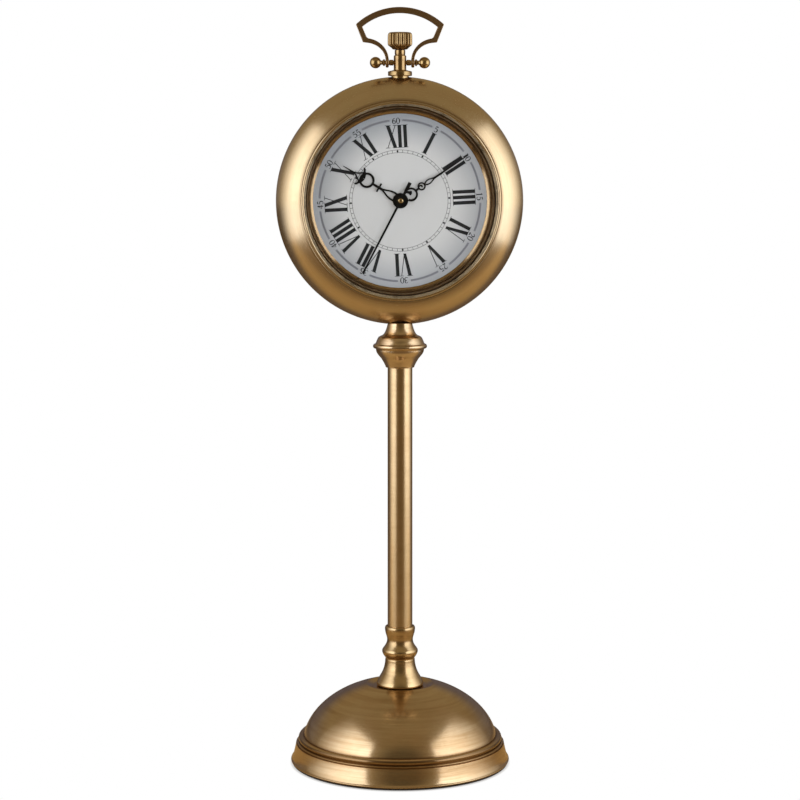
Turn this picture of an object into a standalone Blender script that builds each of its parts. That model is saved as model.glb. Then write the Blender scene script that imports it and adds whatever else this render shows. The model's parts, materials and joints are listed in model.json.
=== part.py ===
"""A table-top pedestal clock: a pocket-watch case on a turned pillar and a domed foot.

Every physical piece is its own object. All sizes below are in millimetres and are scaled to metres
when a mesh is made. +Z is up, the origin is at the centre of the felt pad's underside, and the dial
faces -Y. Pieces of the case and of the movement are placed from the hand axis, which runs along Y
through the centre of the dial.
"""
import bpy
import bmesh
from math import acos, asin, atan2, cos, pi, radians, sin, sqrt
from mathutils import Matrix, Vector

MM = 0.001
GAP = 0.3                      # clearance left between neighbouring pieces

# Foot
FELT_RADIUS = 77.6
FELT_THICKNESS = 1.5
BASE_RADIUS = 79.0             # rim lip of the foot
BASE_SHEET = 1.4               # thickness of the spun sheet
DOME_RADIUS = 70.8             # half axes of the dome's elliptical section
DOME_HEIGHT = 47.6
DOME_CENTRE_Z = 11.4
DOME_CREST_RADIUS = 24.0       # the dome stops here and dips to the collar's seat
SEAT_Z = 54.6                  # level on which the collar's flange rests
SEAT_RADIUS = 18.2
BASE_BORE = 4.0
DOME_FOOT_Z = 20.4             # the dome ends here, above the rim's mouldings
RIM_BEAD_RADIUS = 2.7
WEIGHT_RADIUS = 68.0
WEIGHT_TOP_Z = 13.0
WEIGHT_BOSS_RADIUS = 12.0
NUT_RECESS_RADIUS = 11.5
NUT_RECESS_TOP_Z = 10.5

# Pillar
PILLAR_RADIUS = 9.0
PILLAR_WALL = 1.0
PILLAR_BOTTOM_Z = 92.3
PILLAR_TOP_Z = 290.6
COLLAR_TOP_Z = 97.7
FERRULE_BOTTOM_Z = 284.9
FERRULE_TOP_Z = 315.8
ROD_RADIUS = 3.0
ROD_BOTTOM_Z = 3.0
ROD_TOP_Z = 327.0
NUT_FLATS = 10.0
NUT_HEIGHT = 4.8
WASHER_THICKNESS = 1.4

# Case
CASE_Z = 406.0
CASE_RADIUS = 90.0
CASE_SHEET = 1.4
BELLY_RADIUS = 61.0            # centre of the front shell's elliptical section
BELLY_Y = 2.5
BELLY_DEPTH = 25.1
BELLY_END = radians(66.5)      # the rounded front stops here and the lip begins
CREST_Y = -21.0
SEAM_Y = 9.0                   # the shells meet here
BACK_Y = 22.0
LIP_RADIUS = 70.6
LIP_HALF_WIDTH = 0.9
LIP_FOOT_RADIUS = 68.5         # the lip slopes in to here, just in front of the lens
LIP_BACK_Y = -16.2
SPIGOT_Y = 1.1                 # the rear shell reaches this far into the front shell
REAR_SHOULDER_RADIUS = 76.0    # centre of the rear shell's rounded section
OPENING_RADIUS = 68.0          # recess for the rear cover
OPENING_SEAT_RADIUS = 62.0
SEAT_FRONT_Y = 18.8
SEAT_BACK_Y = 20.0
LENS_RADIUS = 71.9
LENS_FRONT_Y = -15.9
LENS_THICKNESS = 2.0
BEZEL_TOP_RADIUS = 67.8
BEZEL_TOP_Y = -12.0
BEZEL_FLANGE = 1.2
BEZEL_WAIST = (66.0, -5.6)     # the bezel's wall turns into its sloping foot here
BEZEL_FOOT_RADIUS = 62.8
DIAL_RADIUS = 66.5
DIAL_FRONT_Y = -1.5
DIAL_THICKNESS = 0.8
COVER_RADIUS = 67.7
COVER_Y = 20.3
COVER_THICKNESS = 1.1
COVER_SCREW_CIRCLE = 65.0
COVER_SCREW_RADIUS = 1.3
SUPPORT_RADIUS = 87.8
SUPPORT_BORE = 56.0
SUPPORT_BACK_Y = 0.8
WINDOW_HALF = 29.2
NOTCH_HALF = 8.0
NOTCH_INNER = 75.0

# Pendant, crown and bow
PENDANT_BOTTOM_Z = 493.6       # its flange is hollowed to sit on the case from here up
PENDANT_STEM_RADIUS = 3.0
PENDANT_STEM_BOTTOM_Z = 483.0
PENDANT_FLANGE_RADIUS = 8.75
PENDANT_FLANGE_TOP_Z = 500.2
PENDANT_RADIUS = 4.65
PENDANT_TOP_Z = 511.4
BOW_PIVOT_Z = 506.1
CROWN_BOTTOM_Z = 515.6
CROWN_TOP_Z = 528.1
CROWN_RADIUS = 9.0
CROWN_FLUTES = 18
FLUTE_DEPTH = 0.9
STEM_RADIUS = 1.3
STEM_BOTTOM_Z = 509.0
STEM_TOP_Z = 524.0
BOW_SCREW_RADIUS = 1.6
BALL_RADIUS = 4.0
BALL_X = 17.8
EYELET_X = 9.3
EYELET_RADIUS = 3.6
EYELET_THICKNESS = 2.2
BOW_THICKNESS = 3.0
BOW_TOP_Z = 546.5
BOW_CORNER = (32.0, 533.9)     # outer upper corner
BOW_ELBOW = (26.9, 520.9)      # outer lower corner
BOW_BAR = 4.0
ARM_CENTRE = (25.3, 507.6)     # centre of the curved arms

# Movement, from the hand axis
MOVEMENT_HALF = 28.0
HOUSING_WALL = 1.2
HOUSING_FRONT_Y = 0.4
HOUSING_SPLIT_Y = 9.0
HOUSING_BACK_Y = 16.4
BUSH_RADIUS = 4.0
BUSH_BORE = 2.6
BUSH_TIP_Y = -4.4
BATTERY_RADIUS = 7.2
BATTERY_Y = 9.3
BATTERY_Z = -19.2
BATTERY_LEFT_X = -25.1
BATTERY_SHOULDER_X = 23.9
BATTERY_TIP_X = 25.2
CONTACT_Y = (4.0, 14.6)
BAY_TOP_Z = -11.7              # battery bay below, gear room above
STATOR_EDGES = (-24.0, -11.6, -4.0, 24.0)
STATOR_Y = (6.2, 7.2)
BOARD_LOW = (4.0, 11.4, 10.8)
BOARD_HIGH = (26.2, 12.4, 26.2)
GEAR_ROOM_Z = -10.4

# Levels along the hand axis: (front, back) of each wheel and pinion
SECOND_WHEEL_Y = (8.2, 9.0)
SECOND_PINION_Y = (6.4, 8.4)
SECOND_ARBOR_FRONT_Y = -10.9
THIRD_WHEEL_Y = (6.5, 7.3)
THIRD_PINION_Y = (4.4, 6.7)
CENTRE_WHEEL_Y = (4.6, 5.4)
INTERMEDIATE_WHEEL_Y = (10.0, 10.8)
INTERMEDIATE_PINION_Y = (8.0, 10.2)
ROTOR_MAGNET_Y = (5.0, 8.5)
ROTOR_PINION_Y = (8.3, 11.0)
CANNON_TUBE_Y = (-8.4, 4.2)
CANNON_PINION_Y = (3.1, 4.1)
MINUTE_WHEEL_Y = (3.2, 4.0)
MINUTE_PINION_Y = (1.9, 3.4)
HOUR_TUBE_Y = (-6.0, 2.6)
HOUR_WHEEL_Y = (2.0, 2.8)
KNOB_Y = (16.8, 19.6)
KNOB_ARBOR_Y = (3.0, 18.6)
INTERMEDIATE_FRONT_Y = 5.8     # its arbor stops behind the centre wheel
ARBOR_BACK_Y = 15.0
ARBOR_FRONT_Y = 1.8
ARBOR_RADIUS = 0.5
KNOB_RADIUS = 6.0
KNOB_ARBOR_RADIUS = 2.2
MINUTE_POST_RADIUS = 0.7

# Gear train: tooth counts and modules
ROTOR_TEETH = 6
INTERMEDIATE_TEETH = 30
INTERMEDIATE_PINION_TEETH = 6
SECOND_TEETH = 36
SECOND_PINION_TEETH = 6
THIRD_TEETH = 45
THIRD_PINION_TEETH = 6
CENTRE_TEETH = 48
CANNON_TEETH = 8
MINUTE_TEETH = 24
MINUTE_PINION_TEETH = 8
HOUR_TEETH = 32
KNOB_TEETH = 12
FAST_MODULE = 0.40
MOTION_MODULE = 0.50
ROOT_DEPTH = 1.15              # in modules
TIP_HEIGHT = 0.72
CENTRE_MODULE = FAST_MODULE * (SECOND_PINION_TEETH + THIRD_TEETH) / (THIRD_PINION_TEETH + CENTRE_TEETH)
HOUR_MODULE = MOTION_MODULE * (CANNON_TEETH + MINUTE_TEETH) / (MINUTE_PINION_TEETH + HOUR_TEETH)

# Hands
HOUR_ANGLE = radians(301.3)    # clockwise from twelve, seen from the front
MINUTE_ANGLE = radians(56.1)
SECOND_ANGLE = radians(207.6)
HOUR_LENGTH = 48.4
MINUTE_LENGTH = 59.4
SECOND_LENGTH = 58.5
SECOND_TAIL = 14.9
HAND_THICKNESS = 0.5
HUB_RADIUS = 5.6
HOUR_HAND_Y = -5.0
MINUTE_HAND_Y = -6.7
SECOND_HAND_Y = -9.6
SECOND_ARBOR_RADIUS = 0.4
CANNON_RADIUS = 1.35
CANNON_BORE = 0.7
HOUR_TUBE_RADIUS = 2.3
HOUR_TUBE_BORE = 1.65
BOSS_RADIUS = 2.6              # of the second hand
BUSH_FRONT_Y = -11.6
BUSH_INSIDE_Y = -11.2


# ---------------------------------------------------------------- helpers

def clear_scene():
    for obj in list(bpy.data.objects):
        bpy.data.objects.remove(obj, do_unlink=True)


def make_material(name, colour, roughness, metallic=0.0, alpha=1.0):
    material = bpy.data.materials.new(name)
    material.use_nodes = True
    shader = material.node_tree.nodes["Principled BSDF"]
    shader.inputs["Base Color"].default_value = (*colour, 1.0)
    shader.inputs["Roughness"].default_value = roughness
    shader.inputs["Metallic"].default_value = metallic
    shader.inputs["Alpha"].default_value = alpha
    return material


def finish_mesh(name, bm):
    """Turn a bmesh in millimetres into a smooth-shaded mesh in metres."""
    bmesh.ops.recalc_face_normals(bm, faces=bm.faces)
    mesh = bpy.data.meshes.new(name)
    bm.to_mesh(mesh)
    bm.free()
    mesh.transform(Matrix.Scale(MM, 4))
    mesh.shade_smooth()
    mesh.set_sharp_from_angle(angle=radians(35))
    return mesh


def place(name, mesh, material, origin=(0, 0, 0)):
    mesh.materials.append(material)
    obj = bpy.data.objects.new(name, mesh)
    obj.location = Vector(origin) * MM
    bpy.context.scene.collection.objects.link(obj)
    return obj


def make_helper(name, mesh, origin):
    """A cutter or a joining solid: it shapes another piece and is no piece itself."""
    obj = bpy.data.objects.new(name, mesh)
    obj.location = Vector(origin) * MM
    obj.hide_render = True
    obj.display_type = "WIRE"
    bpy.context.scene.collection.objects.link(obj)
    return obj


def combine(target, mesh, operation, origin=None):
    """Add a Boolean between the target and a helper placed at the target's own origin."""
    place_at = target.location / MM if origin is None else origin
    helper = make_helper(f"{target.name}_{operation.lower()}_{len(target.modifiers)}", mesh, place_at)
    modifier = target.modifiers.new(helper.name, "BOOLEAN")
    modifier.operation = operation
    modifier.object = helper


def turned(profile, segments, axis="Z", closed=True):
    """Spin (radius, height) points about an axis. An open profile starts and ends on the axis."""
    bm = bmesh.new()
    to_point = {
        "X": lambda r, h: (h, 0, r),
        "Y": lambda r, h: (r, h, 0),
        "Z": lambda r, h: (r, 0, h),
    }[axis]
    verts = [bm.verts.new(to_point(r, h)) for r, h in profile]
    edges = [bm.edges.new(pair) for pair in zip(verts, verts[1:])]
    if closed:
        edges.append(bm.edges.new((verts[-1], verts[0])))
    direction = to_point(0, 1)
    bmesh.ops.spin(bm, geom=verts + edges, cent=(0, 0, 0), axis=direction, angle=2 * pi,
                   steps=segments, use_merge=True, use_duplicate=False)
    bmesh.ops.remove_doubles(bm, verts=bm.verts, dist=1e-4)
    return finish_mesh("turned", bm)


def rod(radius, start, end, segments=12, axis="Z"):
    """A plain round bar along an axis."""
    return turned([(0, start), (radius, start), (radius, end), (0, end)], segments, axis, closed=False)


def tube(outer, inner, start, end, segments=24, axis="Z"):
    return turned([(outer, start), (outer, end), (inner, end), (inner, start)], segments, axis)


def hexagon_nut(across_flats, bore, start, end, axis):
    """A six-sided nut: a six-step ring round a twelve-sided bore."""
    corner = across_flats / sqrt(3)
    outline = ring_points(corner, 6, pi / 6)
    hole = ring_points(bore, 12)
    nut = plate([outline, hole], start, end)
    if axis == "Z":
        nut.transform(Matrix.Rotation(pi / 2, 4, "X"))
    return nut


def block(low, high):
    bm = bmesh.new()
    bmesh.ops.create_cube(bm, size=1.0)
    size = Vector(high) - Vector(low)
    centre = (Vector(high) + Vector(low)) / 2
    bmesh.ops.scale(bm, vec=size, verts=bm.verts)
    bmesh.ops.translate(bm, vec=centre, verts=bm.verts)
    return finish_mesh("block", bm)


def ring_points(radius, count, start=0.0, centre=(0, 0)):
    return [(centre[0] + radius * cos(start + 2 * pi * i / count),
             centre[1] + radius * sin(start + 2 * pi * i / count)) for i in range(count)]


def plate(loops, front, back):
    """A flat piece in the XZ plane: the first loop is the outline and the others are holes."""
    bm = bmesh.new()
    edges = []
    for loop in loops:
        verts = [bm.verts.new((x, front, z)) for x, z in loop]
        edges += [bm.edges.new(pair) for pair in zip(verts, verts[1:] + verts[:1])]
    bmesh.ops.triangle_fill(bm, use_beauty=True, edges=edges, normal=(0, -1, 0))
    skin = bmesh.ops.extrude_face_region(bm, geom=list(bm.faces))
    moved = [item for item in skin["geom"] if isinstance(item, bmesh.types.BMVert)]
    bmesh.ops.translate(bm, vec=(0, back - front, 0), verts=moved)
    return finish_mesh("plate", bm)


def ribbon(centre_line, half_widths):
    """The outline of a strip of varying width along a line of (x, z) points."""
    left = []
    right = []
    last = len(centre_line) - 1
    for i, (x, z) in enumerate(centre_line):
        before = centre_line[max(i - 1, 0)]
        after = centre_line[min(i + 1, last)]
        length = sqrt((after[0] - before[0]) ** 2 + (after[1] - before[1]) ** 2)
        normal = (-(after[1] - before[1]) / length, (after[0] - before[0]) / length)
        left.append((x + normal[0] * half_widths[i], z + normal[1] * half_widths[i]))
        right.append((x - normal[0] * half_widths[i], z - normal[1] * half_widths[i]))
    return left + right[::-1]


def arc(centre, radii, start, end, steps):
    """Points of an elliptical arc, as (first, second) coordinates, angles in radians."""
    return [(centre[0] + radii[0] * cos(start + (end - start) * i / steps),
             centre[1] + radii[1] * sin(start + (end - start) * i / steps)) for i in range(steps + 1)]


# ---------------------------------------------------------------- foot

def base_outline():
    """Outer section of the foot from the seat at the top down to the rim lip."""
    crest = acos(DOME_CREST_RADIUS / DOME_RADIUS)
    foot = asin((DOME_FOOT_Z - DOME_CENTRE_Z) / DOME_HEIGHT)
    points = [(SEAT_RADIUS, SEAT_Z), (21.2, SEAT_Z + 0.6)]
    points += arc((0, DOME_CENTRE_Z), (DOME_RADIUS, DOME_HEIGHT), crest, foot, 7)
    points += [(71.2, 19.6)]
    points += arc((71.2, 16.9), (RIM_BEAD_RADIUS, 2.4), radians(80), radians(-60), 4)
    points += [(73.9, 14.2), (75.0, 13.9), (76.7, 10.6), (77.5, 6.4), (77.7, 3.4)]
    return points + [(BASE_RADIUS - 0.4, 3.0), (BASE_RADIUS, 2.3), (BASE_RADIUS - 0.4, 1.8)]


def base_inside():
    """Inner section of the foot, from the rim up to the underside of the seat."""
    high = acos(DOME_CREST_RADIUS / (DOME_RADIUS - BASE_SHEET))
    low = asin((17.0 - DOME_CENTRE_Z) / (DOME_HEIGHT - BASE_SHEET))
    points = [(76.4, 1.8), (75.9, 8.2), (73.6, 12.8)]
    points += arc((0, DOME_CENTRE_Z), (DOME_RADIUS - BASE_SHEET, DOME_HEIGHT - BASE_SHEET), low, high, 5)
    underside = SEAT_Z - BASE_SHEET - 0.5
    return points + [(SEAT_RADIUS + 1.8, underside), (BASE_BORE, underside)]


def make_foot(brass, iron, felt):
    section = [(BASE_BORE, SEAT_Z)] + base_outline() + base_inside()
    place("base_shell", turned(section, 36), brass)

    bore = ROD_RADIUS + GAP
    bottom = FELT_THICKNESS + 0.5
    boss_top = SEAT_Z - BASE_SHEET - 0.8
    weight = [
        (bore, NUT_RECESS_TOP_Z), (NUT_RECESS_RADIUS, NUT_RECESS_TOP_Z), (NUT_RECESS_RADIUS, bottom),
        (WEIGHT_RADIUS, bottom), (WEIGHT_RADIUS, WEIGHT_TOP_Z), (WEIGHT_BOSS_RADIUS + 4, WEIGHT_TOP_Z + 2),
        (WEIGHT_BOSS_RADIUS, boss_top), (bore, boss_top),
    ]
    place("base_weight", turned(weight, 24), iron)
    place("felt_pad", rod(FELT_RADIUS, 0, FELT_THICKNESS, 36), felt)


# ---------------------------------------------------------------- pillar

def make_pillar(brass, steel):
    bore = ROD_RADIUS + GAP
    socket = PILLAR_RADIUS + GAP
    collar = [
        (16.7, SEAT_Z + GAP), (16.9, 57.0), (16.3, 58.4), (15.0, 61.8), (12.9, 64.7), (11.6, 68.2),
        (10.8, 71.4), (10.6, 73.4), (11.5, 76.3), (12.6, 78.4), (12.8, 79.9), (12.5, 81.4),
        (11.0, 83.5), (9.5, 86.0), (9.4, 88.2), (10.4, 91.6), (10.9, 94.4), (10.7, 96.6),
        (10.2, COLLAR_TOP_Z), (socket, COLLAR_TOP_Z), (socket, PILLAR_BOTTOM_Z - GAP),
        (bore, PILLAR_BOTTOM_Z - GAP), (bore, SEAT_Z + GAP),
    ]
    place("lower_collar", turned(collar, 20), brass)
    pillar = tube(PILLAR_RADIUS, PILLAR_RADIUS - PILLAR_WALL, PILLAR_BOTTOM_Z, PILLAR_TOP_Z, 20)
    place("pillar_tube", pillar, brass)
    ferrule = [
        (bore, FERRULE_TOP_Z), (9.9, FERRULE_TOP_Z), (11.6, 311.4), (13.4, 308.6), (15.6, 307.2),
        (16.9, 305.2), (18.0, 302.7), (19.3, 301.8), (19.6, 300.4), (19.2, 299.1), (17.6, 297.9),
        (17.0, 296.2), (14.1, 291.9), (11.6, 288.9), (10.2, 286.4), (9.9, FERRULE_BOTTOM_Z),
        (socket, FERRULE_BOTTOM_Z), (socket, PILLAR_TOP_Z + GAP), (bore, PILLAR_TOP_Z + GAP),
    ]
    place("upper_ferrule", turned(ferrule, 20), brass)

    place("tie_rod", rod(ROD_RADIUS, ROD_BOTTOM_Z, ROD_TOP_Z, 12), steel)
    washer_top = NUT_RECESS_TOP_Z - GAP
    washer_bottom = washer_top - WASHER_THICKNESS
    place("tie_rod_washer", tube(9.0, bore, washer_bottom, washer_top, 16), steel)
    nut_top = washer_bottom - GAP
    place("tie_rod_nut", hexagon_nut(NUT_FLATS, bore, nut_top - NUT_HEIGHT, nut_top, "Z"), steel)
    washer_z = CASE_Z - CASE_RADIUS + CASE_SHEET + 2.3
    place("case_washer", tube(5.0, bore, washer_z, washer_z + WASHER_THICKNESS, 16), steel)
    nut_bottom = washer_z + WASHER_THICKNESS + GAP
    place("case_nut", hexagon_nut(NUT_FLATS, bore, nut_bottom, nut_bottom + NUT_HEIGHT, "Z"), steel)


# ---------------------------------------------------------------- case

def belly(inset, end, steps):
    """The front shell's rounded section, from its widest circle towards the lip."""
    radii = (CASE_RADIUS - BELLY_RADIUS - inset, inset - BELLY_DEPTH)
    return arc((BELLY_RADIUS, BELLY_Y), radii, 0, end, steps)


def make_shells(brass):
    centre = (0, 0, CASE_Z)
    outer = [(CASE_RADIUS, SEAM_Y)] + belly(0, BELLY_END, 8)
    outer += [(LIP_RADIUS + LIP_HALF_WIDTH, CREST_Y + 0.4), (LIP_RADIUS, CREST_Y),
              (LIP_RADIUS - LIP_HALF_WIDTH, CREST_Y + 0.6)]
    inner = [(LIP_FOOT_RADIUS, LIP_BACK_Y), (LENS_RADIUS + 0.7, LIP_BACK_Y)]
    inner += belly(CASE_SHEET, radians(64), 5)[::-1]
    inner += [(CASE_RADIUS - CASE_SHEET, SEAM_Y)]
    front = place("front_shell", turned(outer + inner, 36, "Y"), brass, centre)
    combine(front, rod(ROD_RADIUS + GAP, -94, -84, 12, "Z"), "DIFFERENCE")
    combine(front, rod(PENDANT_STEM_RADIUS + GAP, 84, 94, 12, "Z"), "DIFFERENCE")

    start = SEAM_Y + GAP
    corner = CASE_RADIUS - REAR_SHOULDER_RADIUS
    section = [(CASE_RADIUS - CASE_SHEET - 2 * GAP, SPIGOT_Y), (CASE_RADIUS - CASE_SHEET - 2 * GAP, start),
               (CASE_RADIUS, start)]
    section += arc((REAR_SHOULDER_RADIUS, start), (corner, BACK_Y - start), radians(18), pi / 2, 4)
    section += [(OPENING_RADIUS, BACK_Y), (OPENING_RADIUS, SEAT_BACK_Y), (OPENING_SEAT_RADIUS, SEAT_BACK_Y),
                (OPENING_SEAT_RADIUS, SEAT_FRONT_Y)]
    section += arc((75.5, start), (11.5, SEAT_FRONT_Y - start), pi / 2, 0, 3)
    section += [(75.5 + 11.5, SPIGOT_Y)]
    rear = place("rear_shell", turned(section, 36, "Y"), brass, centre)
    for x, z in cover_screw_places():
        combine(rear, rod_at(COVER_SCREW_RADIUS + GAP, x, z, SEAT_FRONT_Y - 1, SEAT_BACK_Y + 1), "DIFFERENCE")
    for notch in fixing_notches(0.0, SEAM_Y - 0.4):
        combine(rear, notch, "DIFFERENCE")


def case_cutter():
    """The top of the case with its clearance, for hollowing what sits on it."""
    reach = 14
    outline = [(CASE_RADIUS + GAP, reach)] + belly(-GAP, radians(40), 6)
    outline += [(BELLY_RADIUS, outline[-1][1]), (BELLY_RADIUS, reach)]
    return turned(outline, 36, "Y")


def fixing_notches(front, back):
    """Room at the bottom and the top of the case for the nuts of the tie rod and the pendant."""
    low = block((-NOTCH_HALF, front, -CASE_RADIUS + 1), (NOTCH_HALF, back, -NOTCH_INNER))
    high = block((-NOTCH_HALF, front, NOTCH_INNER), (NOTCH_HALF, back, CASE_RADIUS - 1))
    return low, high


def rod_at(radius, x, z, start, end, segments=10):
    """A bar along Y beside the hand axis."""
    mesh = rod(radius, start, end, segments, "Y")
    mesh.transform(Matrix.Translation(Vector((x, 0, z)) * MM))
    return mesh


def cover_screw_places():
    return ring_points(COVER_SCREW_CIRCLE, 4, pi / 4)


def make_front_stack(brass, glass, rubber, dial_paint, steel):
    """Lens, gasket, bezel, dial and dial support, from the front to the back."""
    centre = (0, 0, CASE_Z)
    lens_back = LENS_FRONT_Y + LENS_THICKNESS
    place("lens", rod(LENS_RADIUS, LENS_FRONT_Y, lens_back, 36, "Y"), glass, centre)
    gasket = tube(LENS_RADIUS, BEZEL_TOP_RADIUS + 0.4, lens_back + GAP, BEZEL_TOP_Y - GAP, 36, "Y")
    place("lens_gasket", gasket, rubber, centre)
    foot_y = DIAL_FRONT_Y - GAP
    flange_back = BEZEL_TOP_Y + BEZEL_FLANGE
    bezel = [
        (LENS_RADIUS, BEZEL_TOP_Y), (LENS_RADIUS, flange_back),
        (BEZEL_TOP_RADIUS + BEZEL_FLANGE, flange_back), (66.6, -4.2),
        (BEZEL_FOOT_RADIUS + 1.8, foot_y), (BEZEL_FOOT_RADIUS, foot_y),
        (64.9, -3.7), BEZEL_WAIST, (BEZEL_TOP_RADIUS, BEZEL_TOP_Y),
    ]
    place("bezel_ring", turned(bezel, 36, "Y"), brass, centre)
    dial_back = DIAL_FRONT_Y + DIAL_THICKNESS
    dial = tube(DIAL_RADIUS, BUSH_RADIUS + GAP, DIAL_FRONT_Y, dial_back, 36, "Y")
    place("dial_plate", dial, dial_paint, centre)
    support_mesh = tube(SUPPORT_RADIUS, SUPPORT_BORE, dial_back + GAP, SUPPORT_BACK_Y, 36, "Y")
    support = place("dial_support", support_mesh, steel, centre)
    for notch in fixing_notches(-2, 2):
        combine(support, notch, "DIFFERENCE")


def make_rear_cover(brass, steel):
    centre = (0, 0, CASE_Z)
    back = COVER_Y + COVER_THICKNESS
    window = [(-WINDOW_HALF, -WINDOW_HALF), (WINDOW_HALF, -WINDOW_HALF),
              (WINDOW_HALF, WINDOW_HALF), (-WINDOW_HALF, WINDOW_HALF)]
    holes = [ring_points(COVER_SCREW_RADIUS + GAP, 10, 0, place_at) for place_at in cover_screw_places()]
    place("rear_cover", plate([ring_points(COVER_RADIUS, 36), window] + holes, COVER_Y, back), brass, centre)
    head = back + GAP
    tip = 15.6
    profile = [(0, tip), (COVER_SCREW_RADIUS, tip), (COVER_SCREW_RADIUS, head), (2.3, head),
               (2.1, head + 0.7), (0, head + 1.0)]
    for number, (x, z) in enumerate(cover_screw_places(), start=1):
        place(f"cover_screw_{number}", turned(profile, 10, "Y", closed=False), steel, (x, 0, CASE_Z + z))


# ---------------------------------------------------------------- pendant, crown and bow

def make_pendant(brass, steel):
    flange = PENDANT_FLANGE_RADIUS
    neck = PENDANT_RADIUS - 0.7
    neck_top = CROWN_BOTTOM_Z - GAP
    profile = [
        (0, PENDANT_BOTTOM_Z), (flange, PENDANT_BOTTOM_Z), (flange, PENDANT_FLANGE_TOP_Z - 1),
        (flange - 1.3, PENDANT_FLANGE_TOP_Z), (PENDANT_RADIUS, PENDANT_FLANGE_TOP_Z + 0.3),
        (PENDANT_RADIUS, PENDANT_TOP_Z - 0.4), (neck, PENDANT_TOP_Z), (neck, neck_top), (0, neck_top),
    ]
    pendant = place("pendant", turned(profile, 16, closed=False), brass)
    combine(pendant, case_cutter(), "DIFFERENCE", origin=(0, 0, CASE_Z))
    combine(pendant, rod(PENDANT_STEM_RADIUS, PENDANT_STEM_BOTTOM_Z, PENDANT_FLANGE_TOP_Z - 1, 12), "UNION")
    combine(pendant, rod(STEM_RADIUS + GAP, PENDANT_STEM_BOTTOM_Z - 1, neck_top + 1, 12), "DIFFERENCE")
    combine(pendant, rod(BOW_SCREW_RADIUS + GAP, -7, 7, 10, "X"), "DIFFERENCE", origin=(0, 0, BOW_PIVOT_Z))
    nut_top = CASE_Z + CASE_RADIUS - CASE_SHEET - 2.0
    place("pendant_nut", hexagon_nut(9.0, PENDANT_STEM_RADIUS + GAP, nut_top - 3.0, nut_top, "Z"), steel)
    place("crown_stem", rod(STEM_RADIUS, STEM_BOTTOM_Z, STEM_TOP_Z, 12), steel)


def make_crown(brass):
    """A fluted crown: the outline waves in and out, and the rounded ends draw it in."""
    bm = bmesh.new()
    levels = [(CROWN_BOTTOM_Z, 0.62), (CROWN_BOTTOM_Z + 1.9, 0.9), (CROWN_BOTTOM_Z + 2.8, 1.0),
              (CROWN_TOP_Z - 2.2, 1.0), (CROWN_TOP_Z - 0.6, 0.93), (CROWN_TOP_Z, 0.78)]
    rings = []
    for z, scale in levels:
        ring = []
        for i in range(2 * CROWN_FLUTES):
            radius = (CROWN_RADIUS if i % 2 == 0 else CROWN_RADIUS - FLUTE_DEPTH) * scale
            angle = pi * i / CROWN_FLUTES
            ring.append(bm.verts.new((radius * cos(angle), radius * sin(angle), z)))
        rings.append([bm.edges.new(pair) for pair in zip(ring, ring[1:] + ring[:1])])
    for lower, upper in zip(rings, rings[1:]):
        bmesh.ops.bridge_loops(bm, edges=lower + upper)
    bmesh.ops.holes_fill(bm, edges=rings[0] + rings[-1])
    crown = place("crown", finish_mesh("crown", bm), brass)
    stem_hole = rod(STEM_RADIUS + GAP, CROWN_BOTTOM_Z - 1, STEM_TOP_Z + GAP, 12)
    combine(crown, stem_hole, "DIFFERENCE")


def bow_outline():
    """The bow's flat bar: a shallow arch, two sloping sides and two curved arms."""
    rise = BOW_TOP_Z - BOW_CORNER[1]
    arch_radius = (BOW_CORNER[0] ** 2 + rise ** 2) / (2 * rise)
    arch_centre = (0, BOW_TOP_Z - arch_radius)
    spread = asin(BOW_CORNER[0] / arch_radius)
    outer = arc(arch_centre, (arch_radius, arch_radius), pi / 2 - spread, pi / 2 + spread, 14)
    inner_radius = arch_radius - BOW_BAR
    inner_spread = spread * 0.955
    inner = arc(arch_centre, (inner_radius, inner_radius), pi / 2 - inner_spread, pi / 2 + inner_spread, 14)

    steps = 7
    arm_outer = arc(ARM_CENTRE, (-15.2, 13.3), 0, radians(84), steps)
    arm_inner = arc(ARM_CENTRE, (-16.6, 15.9), 0, radians(84), steps)
    right = arm_outer + [BOW_ELBOW]
    right_inner = arm_inner + [(BOW_ELBOW[0] - 1.5, BOW_ELBOW[1] + 3.2)]
    foot = [(EYELET_X + 0.8, BOW_PIVOT_Z - 1), (EYELET_X - 0.6, BOW_PIVOT_Z - 1)]
    left = [(-x, z) for x, z in right[::-1]]
    left_inner = [(-x, z) for x, z in right_inner]
    left_foot = [(-x, z) for x, z in foot]
    return right + outer + left + left_foot + left_inner + inner[::-1] + right_inner[::-1] + foot[::-1]


def make_bow(brass):
    pivot = (0, 0, BOW_PIVOT_Z)
    half = BOW_THICKNESS / 2
    outline = [(x, z - BOW_PIVOT_Z) for x, z in bow_outline()]
    bow = place("bow", plate([outline], -half, half), brass, pivot)
    for side in (-1, 1):
        inner_x = EYELET_X - EYELET_THICKNESS / 2
        outer_x = EYELET_X + EYELET_THICKNESS / 2
        eyelet = rod(EYELET_RADIUS, side * inner_x, side * outer_x, 16, "X")
        combine(bow, eyelet, "UNION")
        bore = rod(BOW_SCREW_RADIUS + GAP, side * (inner_x - 2), side * (outer_x + 2), 12, "X")
        combine(bow, bore, "DIFFERENCE")


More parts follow.
